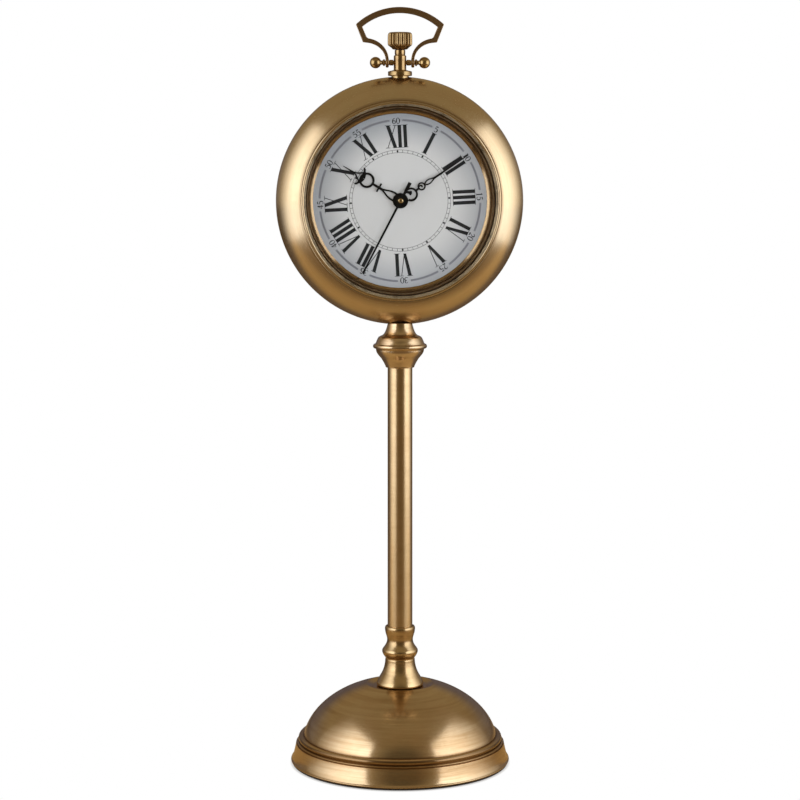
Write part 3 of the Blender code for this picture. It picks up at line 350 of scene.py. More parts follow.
class Finish(Nodes):
    """The nodes of one material."""

    def __init__(self, name):
        self.material = bpy.data.materials.new(name)
        self.material.use_nodes = True
        super().__init__(self.material.node_tree, "Material")
        self.position = self.add("TexCoord").outputs["Object"]

    def surface(self, **inputs):
        """Give the material its surface and return it."""
        inputs = {key.replace("_", " "): value for key, value in inputs.items()}
        self.show(self.add("BsdfPrincipled", inputs))
        return self.material

    def round_place(self, axis, centre_mm):
        """(distance from the turning axis, place along it, angle) as separate values in metres."""
        centre = tuple(c * MM for c in centre_mm)
        parts = self.parts(self.vector_math("SUBTRACT", self.position, centre).outputs[0])
        first, second = (parts[i] for i in {"X": (1, 2), "Y": (0, 2), "Z": (0, 1)}[axis])
        distance = self.math("SQRT", first * first + second * second)
        return distance, parts["XYZ".index(axis)], self.math("ARCTAN2", second, first)

    def brushed(self, place, across, around, detail, roughness=0.55):
        """Streaks round a turning axis: fine across it and long around it."""
        distance, along, angle = place
        vector = self.add("CombineXYZ", {0: distance * across, 1: along * across, 2: angle * around})
        return self.noise(vector.outputs[0], 1.0, detail, roughness)


def scaled(tone, *factors):
    return tuple(c * k for c, k in zip(tone, factors))


# ---- materials

def brass(name, axis="Z", centre=(0, 0, 0), tone=(0.56, 0.415, 0.25), dark=(0.34, 0.20, 0.08),
          roughness=0.20, streaks=1.0, age_and_shade=1.0, grain=0.6, coat=0.35, painted_shade_bands=()):
    """Lacquered antique brass, brushed round its turning axis, with painted shade that makes it browner in
    its grooves.

    The last argument lists (radius, half width, strength) of bands darkened with painted shade, in
    millimetres from the axis.
    """
    s = Finish(name)
    place = s.round_place(axis, centre)
    fine_lines = s.brushed(place, 2600.0, 1.6, 2.0)
    broad_lines = s.brushed(place, 420.0, 0.9, 3.0)
    bands = s.brushed(place, 120.0, 0.6, 3.0, 0.6)
    patina = s.noise(s.position, 26.0, 4.0, 0.6)
    blotch = s.noise(s.position, 150.0, 3.0, 0.6)
    speck = s.noise(s.position, 1900.0, 1.0)
    streak = fine_lines * 0.45 + broad_lines * 0.55

    # Painted shade: where ambient occlusion finds a hollow or groove, the colour goes towards the dark tone.
    # The noise patina and streaks are real tone.
    shade_occlusion = s.add("AmbientOcclusion", {"Distance": 4.0 * MM}, samples=6, only_local=True)
    groove = s.spread(shade_occlusion.outputs["AO"], 0.30, 0.85, 0.8, 0.0)
    edge = s.spread(s.add("NewGeometry").outputs["Pointiness"], 0.52, 0.60)
    patina_and_shade = s.spread(patina, 0.42, 0.75) * (0.30 * age_and_shade) + s.spread(blotch, 0.5, 0.85) * (0.14 * age_and_shade)
    patina_and_shade = patina_and_shade + s.spread(bands, 0.42, 0.70) * (0.34 * streaks)
    patina_and_shade = s.math("ADD", patina_and_shade, s.spread(streak, 0.38, 0.70) * (0.30 * streaks), clamp=True)
    patina_and_shade = s.math("MAXIMUM", patina_and_shade, groove * min(1.0, 0.85 * age_and_shade))

    colour = s.blend(patina_and_shade, tone, dark)
    rosy = s.spread(s.noise(s.position, 52.0, 2.0), 0.46, 0.72, 0.0, 0.3)
    colour = s.blend(rosy, colour, scaled(tone, 1.03, 0.92, 0.88))
    colour = s.blend(edge * 0.35, colour, tuple(min(1.0, c * 1.15) for c in tone))
    # Painted shade: each listed band darkens the colour in a ring round the axis.
    for radius, half_width, strength in painted_shade_bands:
        away = s.math("ABSOLUTE", place[0] - radius * MM)
        shade_band = s.spread(away, half_width * 0.6 * MM, half_width * 1.2 * MM, strength, 0.0)
        colour = s.blend(shade_band, colour, scaled(dark, 0.42, 0.34, 0.24))

    rough = streak * (0.08 * streaks) + (roughness - 0.04)
    rough = rough + patina_and_shade * 0.08 + s.spread(speck, 0.62, 0.8, 0.0, 0.04)
    normal = s.bump((fine_lines + broad_lines) * 0.5, 0.02 * streaks, 0.12)
    normal = s.bump(speck, 0.01, 0.08, normal)
    tangent = s.add("Tangent", direction_type="RADIAL", axis=axis).outputs[0]
    return s.surface(Base_Color=colour, Metallic=1.0, Roughness=rough, Normal=normal, Anisotropic=grain,
                     Anisotropic_Rotation=0.25, Tangent=tangent, Specular_Tint=(1.0, 0.90, 0.74),
                     Coat_Weight=coat, Coat_Roughness=0.10)


def steel(name, tone=(0.56, 0.56, 0.55), roughness=0.33, axis="Y", centre=(0, 0, 0)):
    """Zinc-plated steel: faint cloudy crystals and turning marks, with painted shade where it is hemmed in.
    """
    s = Finish(name)
    marks = s.brushed(s.round_place(axis, centre), 3500.0, 2.0, 2.0)
    cloud = s.noise(s.position, 420.0, 3.0)
    colour = s.blend(s.spread(cloud, 0.35, 0.7), tone, tuple(c * 0.72 for c in tone))
    # Painted shade: the colour goes dark brown where ambient occlusion finds the steel hemmed in.
    shade_openness = s.add("AmbientOcclusion", {"Distance": 6.0 * MM}, samples=6).outputs["AO"]
    colour = s.blend(s.spread(shade_openness, 0.15, 0.45, 0.9, 0.0), colour, (0.05, 0.03, 0.015))
    return s.surface(Base_Color=colour, Metallic=1.0, Roughness=marks * 0.14 + roughness,
                     Normal=s.bump(marks, 0.1, 0.1))


def grained(name, first, second, mottle, texture, roughness, bump, **settings):
    """A finish that varies between two tones.

    mottle: the noise that mixes them (scale, detail, roughness) and its span (low, high, most of the second).
    texture: the noise of the surface. roughness: (least, added). bump: (strength, height in millimetres).
    """
    s = Finish(name)
    *tone_noise, low, high, most = mottle
    surface = s.noise(s.position, *texture)
    share = s.spread(s.noise(s.position, *tone_noise), low, high, 0.0, most)
    rough = surface * roughness[1] + roughness[0]
    return s.surface(Base_Color=s.blend(share, first, second), Roughness=rough, Normal=s.bump(surface, *bump),
                     **settings)


def plastic(name, tone, roughness=0.42, grain=0.08):
    """Moulded plastic with a fine spark-eroded grain and slight shade changes."""
    return grained(name, tone, scaled(tone, 0.82, 0.82, 0.82), (90.0, 2.0, 0.55, 0.35, 0.7, 1.0),
                   (3200.0, 2.0, 0.6), (roughness, 0.12), (grain, 0.15), Specular_IOR_Level=0.45)


def ink(name, tone):
    """Screen-printed ink: small density changes across each stroke."""
    return grained(name, tone, tuple(c * 1.5 + 0.01 for c in tone), (1500.0, 3.0, 0.55, 0.4, 0.75, 0.6),
                   (1500.0, 3.0), (0.55, 0.15), (0.05, 0.03), Specular_IOR_Level=0.15)


def silver_dial(name):
    """Satin silver dial with fine circular grain, with painted shade making it darker and bluer towards its
    rim and its upper left.
    """
    s = Finish(name)
    distance, _, angle = s.round_place("Y", CASE_CENTRE)
    grain = s.noise(s.add("CombineXYZ", {0: distance * 2400.0, 1: angle * 3.0}).outputs[0], 1.0, 3.0)
    paper = s.noise(s.position, 2600.0, 2.0)
    cloud = s.noise(s.position, 28.0, 2.0)
    x, _, z = s.parts(s.vector_math("SUBTRACT", s.position, (0, 0, CASE_Z * MM)).outputs[0])
    # Painted shade: darker and bluer towards the rim, as where the bezel shades the dial from the cool side
    # light.
    colour = s.blend(s.spread(distance, 0.040, 0.0625), (0.565, 0.565, 0.58), (0.35, 0.365, 0.405))
    # Painted shadow of the bezel over the dial's upper left.
    upper_left_shadow = s.spread(z * 0.9 - x * 0.45, 0.0, 0.062) * s.spread(distance, 0.040, 0.062)
    colour = s.blend(upper_left_shadow * 0.5, colour, (0.20, 0.235, 0.28))
    colour = s.blend(s.spread(cloud, 0.4, 0.7, 0.0, 0.10), colour, (0.45, 0.45, 0.47))
    colour = s.blend(s.spread(grain, 0.35, 0.7, 0.0, 0.08), colour, (0.38, 0.38, 0.40))
    return s.surface(Base_Color=colour, Metallic=0.25, Roughness=grain * 0.12 + 0.42,
                     Normal=s.bump((grain + paper) * 0.5, 0.04, 0.05))


def clear_glass(name):
    """Thin mineral glass: what is behind shows straight through, with a weak reflection on top."""
    s = Finish(name)
    smear = s.spread(s.noise(s.position, 22.0, 3.0), 0.3, 0.7, 0.12, 0.22)
    facing = Value(s, s.add("Fresnel", {"IOR": 1.32}).outputs[0])
    through = s.add("BsdfTransparent", {"Color": (0.985, 0.992, 0.99)})
    shine = s.add("BsdfGlossy", {"Color": (0.95, 0.97, 1.0), "Roughness": 0.03})
    s.show(s.add("MixShader", {0: facing * smear, 1: through.outputs[0], 2: shine.outputs[0]}))
    return s.material


def felt(name):
    """Dense dark felt with short tangled fibres."""
    s = Finish(name)
    fibre = s.noise(s.position, 2600.0, 5.0, 0.75, 1.2)
    tuft = s.noise(s.position, 420.0, 3.0, 0.6)
    colour = s.blend(s.spread(fibre, 0.3, 0.75), (0.012, 0.008, 0.006), (0.05, 0.034, 0.024))
    colour = s.blend(s.spread(tuft, 0.4, 0.7, 0.0, 0.4), colour, (0.030, 0.020, 0.014))
    return s.surface(Base_Color=colour, Roughness=0.95, Sheen_Weight=0.35, Sheen_Roughness=0.5,
                     Normal=s.bump(fibre * 0.7 + tuft * 0.5, 0.8, 0.35), Specular_IOR_Level=0.2)


def copper_wire(name):
    """Layers of thin enamelled wire, as fine ridges along the coil."""
    s = Finish(name)
    wire = 0.18 * MM
    _, _, z = s.parts(s.position)
    ridge = s.math("ABSOLUTE", s.math("SINE", z * (2 * pi / wire)))
    fade = s.noise(s.position, 300.0, 2.0)
    colour = s.blend(s.spread(fade, 0.3, 0.7), (0.70, 0.28, 0.11), (0.42, 0.14, 0.05))
    return s.surface(Base_Color=colour, Metallic=0.9, Roughness=0.28, Normal=s.bump(ridge, 0.6, 0.08))


def circuit(name):
    """Green solder resist with darker copper tracks under it."""
    s = Finish(name)
    tracks = s.add("TexBrick", {"Vector": s.position, "Scale": 300.0, "Mortar Size": 0.06},
                   offset=0.5).outputs["Fac"]
    weave = s.noise(s.position, 1400.0, 2.0)
    colour = s.blend(tracks, (0.02, 0.14, 0.06), (0.04, 0.23, 0.09))
    colour = s.blend(s.spread(weave, 0.4, 0.7, 0.0, 0.3), colour, (0.015, 0.10, 0.05))
    return s.surface(Base_Color=colour, Roughness=0.38, Normal=s.bump(tracks, 0.2, 0.05))


# The listed bands are painted shade in the grooves of the foot's moulding.
stand_brass = brass("antique_brass", tone=(0.575, 0.425, 0.26), roughness=0.16, streaks=1.5, coat=0.15,
                    painted_shade_bands=[(69.95, 0.45, 0.6), (73.25, 0.4, 0.8), (74.7, 0.35, 0.6)])
collar_brass = brass("antique_brass_collar", tone=(0.58, 0.42, 0.225), dark=(0.21, 0.11, 0.04), streaks=0.8,
                     age_and_shade=1.3, roughness=0.22, coat=0.15)
ferrule_brass = brass("antique_brass_ferrule", tone=(0.70, 0.53, 0.33), dark=(0.22, 0.12, 0.05), streaks=0.8,
                      age_and_shade=1.3, roughness=0.20, coat=0.15)
pillar_brass = brass("antique_brass_pillar", tone=(0.62, 0.445, 0.24), streaks=0.5, age_and_shade=0.6,
                     roughness=0.30, grain=0.45)
# The listed band is painted shade in the valley behind the front shell's lip.
case_brass = brass("antique_brass_case", "Y", CASE_CENTRE, tone=(0.60, 0.46, 0.285), streaks=0.4, age_and_shade=0.5,
                   roughness=0.26, painted_shade_bands=[(72.5, 1.2, 0.30)], coat=0.08)
# The listed bands are painted shade in the bezel's cove and a painted shadow line at its foot.
bezel_brass = brass("antique_brass_bezel", "Y", CASE_CENTRE, tone=(0.40, 0.28, 0.165), streaks=0.4, age_and_shade=0.5,
                    painted_shade_bands=[(66.9, 2.2, 0.62), (62.3, 1.0, 0.8)], coat=0.0)
worn_brass = brass("antique_brass_crown", tone=(0.48, 0.33, 0.155), dark=(0.11, 0.055, 0.02), age_and_shade=1.6,
                   coat=0.1)
screw_brass = brass("antique_brass_screw", "X", BOW_PIVOT, tone=(0.44, 0.30, 0.13),
                    dark=(0.14, 0.07, 0.02), streaks=0.5, age_and_shade=1.5, coat=0.1)
bow_brass = brass("aged_brass", "Y", BOW_PIVOT, tone=(0.39, 0.25, 0.125), dark=(0.20, 0.10, 0.04),
                  roughness=0.33, streaks=0.5, age_and_shade=0.8, grain=0.2, coat=0.1)
nut_brass = brass("antique_brass_nut", "Y", CASE_CENTRE, tone=(0.60, 0.45, 0.24), streaks=0.6, age_and_shade=0.5)
plated_steel = steel("zinc_steel")
spring_steel = steel("contact_steel", (0.62, 0.61, 0.58), 0.26, "X", CASE_CENTRE)
# Sand-cast iron with a little rust.
iron = grained("cast_iron", (0.07, 0.07, 0.072), (0.17, 0.07, 0.03), (120.0, 4.0, 0.65, 0.55, 0.75, 0.5),
               (900.0, 5.0, 0.7), (0.5, 0.3), (0.6, 0.4), Metallic=0.7)
# Dull black rubber with a pale bloom.
seal_rubber = grained("black_rubber", (0.016, 0.010, 0.006), (0.035, 0.024, 0.016),
                      (700.0, 3.0, 0.55, 0.4, 0.75, 0.5), (700.0, 3.0), (0.6, 0.2), (0.1, 0.1),
                      Specular_IOR_Level=0.2)
# Thin black paint on stamped metal, with dust and a slight orange peel.
hand_enamel = grained("black_enamel", (0.004, 0.004, 0.005), (0.036, 0.036, 0.040),
                      (5200.0, 1.0, 0.55, 0.68, 0.8, 0.25), (900.0, 2.0), (0.38, 0.12), (0.05, 0.1),
                      Specular_IOR_Level=0.25)
base_felt = felt("dark_felt")
glass = clear_glass("clear_glass")
dial_finish = silver_dial("silver_dial")
black_plastic = plastic("black_plastic", (0.022, 0.022, 0.024))
knob_plastic = plastic("black_knob_plastic", (0.030, 0.030, 0.032), 0.36, 0.04)
white_plastic = plastic("white_plastic", (0.78, 0.77, 0.72), 0.38, 0.03)
magnet = plastic("bonded_ferrite", (0.07, 0.07, 0.078), 0.6, 0.15)
winding = copper_wire("copper_wire")
board = circuit("circuit_green")
dial_ink = ink("dial_ink", (0.014, 0.014, 0.016))
grey_ink = ink("grey_ink", (0.20, 0.205, 0.24))
jacket = plastic("battery_jacket", (0.045, 0.055, 0.065), 0.28, 0.03)


# ---- foot, pillar and ferrule

def make_foot():
    dome = (70.8, 47.6)
    dome_centre = (0, 11.4)
    crest = 70.2
    wall = 1.4
    profile = [(4.0, 54.6), (18.3, 54.6)]
    profile += curve([(18.5, 54.62), (19.6, 54.75), (21.4, 55.35), (23.98, 56.18)], 4)
    profile += arch(dome_centre, dome, crest, 10.6, 64)
    profile += [(69.7, 19.85), (69.75, 19.3), (70.1, 19.3), (70.5, 19.55)]
    profile += arch((71.25, 17.3), (2.3, 2.3), 112, -30, 16)
    profile += [(73.1, 15.75), (73.1, 15.3), (73.5, 15.35)]
    profile += arch((73.75, 14.75), (0.8, 0.65), 105, -30, 7)
    profile += [(74.35, 14.2), (74.3, 13.7), (74.9, 13.75)]
    profile += curve([
        (75.3, 13.8), (75.75, 11.4), (76.35, 8.6), (77.05, 5.8), (77.85, 3.6), (78.35, 2.75)], 5)
    profile += arch((78.2, 2.1), (0.7, 0.6), 60, -90, 9)
    profile += [(76.8, 1.55), (76.6, 2.3), (75.9, 8.2), (73.6, 12.6)]
    profile += arch(dome_centre, (dome[0] - wall, dome[1] - wall), 8, crest, 24)
    profile += [(20.0, 52.7), (4.0, 52.7)]
    fine("base_shell", turned(profile), stand_brass)

    felt_top = 1.5
    pad = rounded([(70.0, 0.0), (77.9, 0.0), (78.1, 0.7), (77.9, felt_top), (70.0, felt_top)], 0.4, 3)
    fine("felt_pad", turned([(0, 0)] + pad + [(0, felt_top)], closed=False), base_felt)


ROD_BORE = 3.4                 # radius of the hole for the tie rod


def make_collar():
    top = COLLAR_TOP_Z
    profile = [(ROD_BORE, COLLAR_BOTTOM_Z), (16.2, COLLAR_BOTTOM_Z)]
    profile += arch((15.6, 56.2), (1.35, 1.3), -90, 20, 10)
    profile += curve([
        (16.8, 57.0), (16.5, 57.7), (15.9, 58.9), (14.6, 61.2), (13.2, 63.6), (12.05, 66.2),
        (11.3, 68.8), (10.85, 71.6), (10.7, 73.4), (10.5, 74.2), (10.7, 75.0), (11.4, 75.9),
        (12.2, 77.2), (12.75, 78.4), (12.95, 79.6), (12.6, 80.9), (11.6, 82.3), (10.5, 83.9),
        (9.7, 85.6), (9.35, 87.3), (9.45, 89.0), (9.95, 90.9), (10.5, 92.7), (10.85, 94.6)], 5)
    profile += arch((9.9, 95.6), (1.05, 2.1), -8, 88, 8)
    profile += [
        (SOCKET_RADIUS + 0.1, top - 0.05), (SOCKET_RADIUS, top - 0.4), (SOCKET_RADIUS, 92.0),
        (ROD_BORE, 92.0)]
    fine("lower_collar", turned(profile, ROUND_SMALL), collar_brass)


def make_pillar():
    bottom = 92.3
    top = 290.6
    rings = 40
    wall = 1
    tube = [(PILLAR_RADIUS, bottom + (top - bottom) * k / rings) for k in range(rings + 1)]
    tube += [(PILLAR_RADIUS - wall, top), (PILLAR_RADIUS - wall, bottom)]
    fine("pillar_tube", turned(tube, ROUND_SMALL), pillar_brass)


def make_ferrule():
    crest = FERRULE_TOP_Z + 1.6
    profile = [(ROD_BORE, crest), (8.5, crest)]
    profile += arch((8.5, crest - 0.5), (0.5, 0.5), 90, 10, 4)
    profile += curve([
        (9.1, 316.2), (9.4, 314.8), (10.0, 312.9), (10.8, 310.9), (11.7, 309.4), (12.6, 308.5)], 4)
    profile += curve([
        (13.2, 308.15), (14.6, 307.6), (15.7, 306.8), (16.6, 305.2), (17.3, 303.5), (17.75, 302.5)], 4)
    profile += [(17.9, 302.2), (18.2, 302.05), (18.5, 302.05)]
    profile += arch((18.45, 300.45), (1.15, 1.5), 80, -82, 12)
    profile += [(18.2, 298.8), (17.75, 298.65), (17.5, 298.3)]
    profile += curve([
        (17.45, 297.9), (17.1, 296.3), (15.9, 294.3), (14.5, 292.6), (13.5, 291.4), (12.5, 289.8),
        (11.4, 287.8), (10.6, 286.2)], 4)
    profile += arch((9.5, 285.8), (1.0, 0.9), 20, -90, 7)
    profile += [(SOCKET_RADIUS, FERRULE_BOTTOM_Z + 0.3), (SOCKET_RADIUS, 290.9), (ROD_BORE, 290.9)]
    mesh = combined([turned(profile, ROUND_SMALL), case_hollow()], "DIFFERENCE")
    fine("upper_ferrule", mesh, ferrule_brass)


# ---- case

BELLY = (61.0, 2.5)            # centre of the front shell's elliptical section: (radius, y)
BELLY_RADII = (CASE_RADIUS - BELLY[0], 25.1)
CASE_WALL = 1.4


def case_hollow():
    """The outside of the case with a clearance, for hollowing what sits on it."""
    clearance = 0.3
    reach = 14
    outline = [(CASE_RADIUS + clearance, reach)]
    outline += arc(BELLY, (BELLY_RADII[0] + clearance, -BELLY_RADII[1] - clearance), 0, 42, 30)
    outline += [(BELLY[0], outline[-1][1]), (BELLY[0], reach)]
    return turned_about_dial(outline)


def make_shells():
    front = FRONT_Y
    rim = CASE_RADIUS
    profile = [(rim - 0.25, SEAM_Y), (rim, SEAM_Y - 0.3), (rim, 6.8), (rim, 4.6)]
    profile += arc(BELLY, (BELLY_RADII[0], -BELLY_RADII[1]), 0, 66.5, 60)
    profile += [(72.25, front + 0.62), (71.95, front + 0.72), (71.65, front + 0.62)]
    profile += arch((70.75, front + 0.95), (0.95, 0.95), -35, -150, 12)
    profile += [(69.75, front + 1.5), (68.5, -16.25), (72.6, -16.2)]
    profile += arc(BELLY, (BELLY_RADII[0] - CASE_WALL, CASE_WALL - BELLY_RADII[1]), 64, 0, 24)
    profile += [(rim - CASE_WALL, SEAM_Y)]
    fine("front_shell", turned_about_dial(profile, sharp=40), case_brass)

    start = SEAM_Y + 0.3
    back = BACK_Y
    profile = [(88.2, 1.1), (88.2, start), (rim - 0.25, start), (rim, start + 0.3)]
    profile += curve([
        (rim, start + 0.35), (89.75, 11.6), (88.6, 15.2), (86.2, 18.4), (82.6, 20.8), (78.6, 21.8),
        (74.0, back)], 6)
    profile += [
        (69.2, back), (68.55, back - 0.25), (68.2, back - 0.7), (68.1, 20.0), (62.0, 20.0), (62.0, 18.8)]
    profile += arch((75.5, start), (11.5, 18.8 - start), 90, 0, 12)
    profile += [(87.0, 1.1)]
    fine("rear_shell", turned_about_dial(profile), case_brass)


def make_window():
    r = LENS_HIGH.x
    front = LENS_LOW.y
    back = LENS_HIGH.y
    pane = [(0, front), (r - 0.4, front), (r, front + 0.4), (r, back - 0.3), (r - 0.3, back), (0, back)]
    fine("lens", turned_about_dial(pane, closed=False), glass)

    low, high = box_mm("lens_gasket")
    seal = rounded([(70.0, low.y), (high.x, low.y), (high.x, high.y), (68.1, high.y), (68.1, low.y),
                    (70.0, low.y)], 0.5)
    fine("lens_gasket", turned_about_dial(seal[:-1]), seal_rubber)

    low, high = box_mm("bezel_ring")
    cove = [
        (high.x, low.y), (high.x, low.y + 1.2), (69.0, low.y + 1.2), (66.8, -3.4), (65.0, high.y),
        (63.3, high.y), (63.15, high.y - 0.25)]
    cove += curve([
        (63.25, -2.1), (63.9, -2.45), (64.9, -3.15), (65.7, -4.0), (66.15, -5.2), (66.5, -7.2),
        (66.9, -9.4), (67.3, -11.3)], 4)
    cove += [(67.6, -11.9), (68.0, low.y)]
    fine("bezel_ring", turned_about_dial(cove), bezel_brass)


def make_dial():
    hole = 4.3
    back = DIAL_FRONT_Y + 0.8
    disc = [
        (hole, DIAL_FRONT_Y), (DIAL_RADIUS - 0.1, DIAL_FRONT_Y), (DIAL_RADIUS, DIAL_FRONT_Y + 0.1),
        (DIAL_RADIUS, back), (hole, back)]
    fine("dial_plate", turned_about_dial(disc), dial_finish)


# ---- dial print

INK_ROOT = 0.02                # how far the print reaches into the dial
NUMERALS = ["I", "II", "III", "IV", "V", "VI", "VII", "VIII", "IX", "X", "XI", "XII"]
NUMERAL_LOW = 38.5
NUMERAL_HIGH = 54.7
BAR = 2.55
BAR_PITCH = 4.0
HAIRLINE = 0.55
SERIF = 0.36
SERIF_REACH = 0.85
LETTER_WIDTH = {"I": BAR, "V": 7.9, "X": 7.4}
LETTER_GAP = {"II": BAR_PITCH - BAR, "IV": 1.1, "VI": 1.0, "IX": 1.1, "XI": 1.0}


def on_dial(r, t, angle):
    """A dial place from a radius and a sideways offset (clockwise) about a clock angle."""
    return (r * sin(angle) + t * cos(angle), r * cos(angle) - t * sin(angle))


def patch(places, angle):
    """A flat shape from its (radius, sideways) corners."""
    return [[on_dial(r, t, angle) for r, t in places]]


def stroke(start, end, width, angle, end_width=None):
    """A straight stroke between two (radius, sideways) places, with square ends along the radius circles."""
    half = width / 2
    end_half = half if end_width is None else end_width / 2
    return patch([(start[0], start[1] - half), (start[0], start[1] + half),
                  (end[0], end[1] + end_half), (end[0], end[1] - end_half)], angle)


def dial_print(name, shapes, height, material):
    mesh = plates(shapes, DIAL_FRONT_Y - height, DIAL_FRONT_Y + INK_ROOT, CASE_CENTRE)
    piece(name, mesh, material)


def letter(kind, left, angle):
    """(thick bars, hairlines, serif spans) of a Roman letter whose left edge is at a sideways place."""
    low = NUMERAL_LOW
    high = NUMERAL_HIGH
    right = left + LETTER_WIDTH[kind]
    half = BAR / 2
    if kind == "I":
        bars = [stroke((high, left + half), (low, left + half), BAR, angle)]
        return bars, [], [(high, left, right), (low, left, right)]
    if kind == "V":
        foot = left + 0.56 * LETTER_WIDTH[kind]
        bars = [stroke((high, left + half), (low, foot), BAR * 1.02, angle, BAR * 0.8)]
        lines = [stroke((high, right - 0.5), (low, foot + 0.3), HAIRLINE, angle)]
        return bars, lines, [(high, left, left + BAR), (high, right - 1.2, right)]
    bars = [stroke((high, left + half), (low, right - half), BAR * 1.04, angle)]
    lines = [stroke((high, right - 0.7), (low, left + 0.7), HAIRLINE, angle)]
    return bars, lines, [(high, left, left + BAR), (high, right - 1.5, right),
                         (low, left, left + 1.5), (low, right - BAR, right)]


def make_numerals():
    bars = []
    lines = []
    serifs = []
    for hour, word in enumerate(NUMERALS, start=1):
        angle = DIAL_TURN + radians(30 * hour)
        gaps = [LETTER_GAP[word[i:i + 2]] for i in range(len(word) - 1)]
        total = sum(LETTER_WIDTH[kind] for kind in word) + sum(gaps)
        left = -total / 2
        for kind, gap in zip(word, gaps + [0]):
            new_bars, new_lines, spans = letter(kind, left, angle)
            bars += new_bars
            lines += new_lines
            for level, start, end in spans:
                side = SERIF / 2 if level == NUMERAL_HIGH else -SERIF / 2
                low, high = start - SERIF_REACH, end + SERIF_REACH
                serifs.append(patch([(level - side, low), (level + side, low),
                                     (level + side, high), (level - side, high)], angle))
            left += LETTER_WIDTH[kind] + gap
    dial_print("numeral_bars", bars, 0.035, dial_ink)
    dial_print("numeral_hairlines", lines, 0.028, dial_ink)
    dial_print("numeral_serifs", serifs, 0.022, dial_ink)


# Digits as strokes in a box 1 high and 0.6 wide: (line through points, thin or thick at each point).
THICK = 0.13
THIN = 0.06
DIGITS = {
    "0": [(arc((0.3, 0.5), (0.25, 0.46), 90, 450, 24), [THIN, THICK, THIN, THICK, THIN])],
    "1": [([(0.32, 0.02), (0.32, 0.97)], [THICK, THICK]), ([(0.14, 0.8), (0.34, 0.95)], [0.05, 0.09]),
          ([(0.14, 0.03), (0.5, 0.03)], [THIN, THIN])],
    "2": [(curve([(0.06, 0.72), (0.12, 0.88), (0.3, 0.96), (0.49, 0.84), (0.5, 0.66), (0.36, 0.42),
                          (0.06, 0.05)], 4), [0.09, THIN, THICK, THICK, 0.07, THIN]),
          ([(0.04, 0.07), (0.54, 0.07)], [THICK, THICK])],
    "3": [(curve([(0.07, 0.82), (0.26, 0.96), (0.46, 0.86), (0.46, 0.64), (0.22, 0.53)], 4),
           [THIN, THIN, THICK, THIN]),
          (curve([(0.22, 0.54), (0.46, 0.48), (0.53, 0.26), (0.36, 0.06), (0.06, 0.12)], 4),
           [0.05, 0.1, THICK, THIN, 0.1])],
    "4": [([(0.4, 0.02), (0.4, 0.97)], [THICK, THICK]), ([(0.4, 0.95), (0.03, 0.32)], [THIN, THIN]),
          ([(0.03, 0.3), (0.58, 0.3)], [0.07, 0.07])],
    "5": [([(0.13, 0.93), (0.5, 0.93)], [0.12, 0.12]), ([(0.14, 0.95), (0.1, 0.52)], [0.05, 0.05]),
          (curve([(0.1, 0.54), (0.3, 0.62), (0.51, 0.45), (0.5, 0.18), (0.3, 0.04), (0.05, 0.12)], 4),
           [0.05, 0.08, 0.14, THICK, THIN, 0.1])],
    "6": [(curve([(0.46, 0.93), (0.24, 0.84), (0.09, 0.56), (0.09, 0.28)], 4),
           [THIN, 0.08, THICK, THICK]),
          (arc((0.3, 0.3), (0.22, 0.26), 90, 450, 20), [THIN, 0.12, THIN, 0.12, THIN])],
}
DIGIT_WIDTH = 0.6
DIGIT_PITCH = 0.66
NUMBER_RADIUS = 57.9
NUMBER_HEIGHT = 4.5
NUMBER_WEIGHT = 1.25
CHAPTER_RADIUS = 58.4
CHAPTER_WIDTH = 1.5
CHAPTER_GAP = {1: 3.4, 2: 4.6}   # degrees each side of a number, by its count of digits
TRACK_RADII = (34.8, 36.8)
RAIL_WIDTH = 0.26
TICK_HALF = 0.15
DIAMOND_HALF = 0.8


def make_minute_numbers():
    shapes = []
    for step in range(1, 13):
        word = str(5 * step)
        left = -len(word) * DIGIT_PITCH / 2 + (DIGIT_PITCH - DIGIT_WIDTH) / 2
        for place, digit in enumerate(word):
            shift = left + place * DIGIT_PITCH
            for line, widths in DIGITS[digit]:
                outline = ribbon(line, [width * NUMBER_WEIGHT for width in widths])
                places = [(NUMBER_RADIUS + (h - 0.5) * NUMBER_HEIGHT, (w + shift) * NUMBER_HEIGHT)
                          for w, h in outline]
                shapes.append(patch(places, DIAL_TURN + radians(30 * step)))
    dial_print("minute_numbers", shapes, 0.03, dial_ink)


def ring_band(radius, width, start, end, steps):
    """A band of a ring between two clock angles in radians."""
    turn = [start + (end - start) * i / steps for i in range(steps + 1)]
    return [[on_dial(radius + width / 2, 0, a) for a in turn]
            + [on_dial(radius - width / 2, 0, a) for a in turn[::-1]]]


def make_tracks():
    chapter = []
    for hour in range(12):
        gaps = [CHAPTER_GAP[len(str(5 * ((h - 1) % 12 + 1)))] for h in (hour, hour + 1)]
        start = DIAL_TURN + radians(30 * hour + gaps[0])
        end = DIAL_TURN + radians(30 * (hour + 1) - gaps[1])
        chapter.append(ring_band(CHAPTER_RADIUS, CHAPTER_WIDTH, start, end, 16))
    dial_print("chapter_arcs", chapter, INK_ROOT, grey_ink)

    inner, outer = TRACK_RADII
    middle = (inner + outer) / 2
    rails = [ring_band(radius, RAIL_WIDTH, radians(30 * step), radians(30 * (step + 1)), 12)
             for radius in TRACK_RADII for step in range(12)]
    for step in range(60):
        corners = [(inner, -TICK_HALF), (inner, TICK_HALF), (outer, TICK_HALF), (outer, -TICK_HALF)]
        if step % 5 == 0:
            corners = [(inner - 0.2, 0), (middle, -DIAMOND_HALF), (outer + 0.2, 0), (middle, DIAMOND_HALF)]
        rails.append(patch(corners, DIAL_TURN + radians(6 * step)))
    dial_print("hour_track", rails, 0.025, dial_ink)


# ---- hands

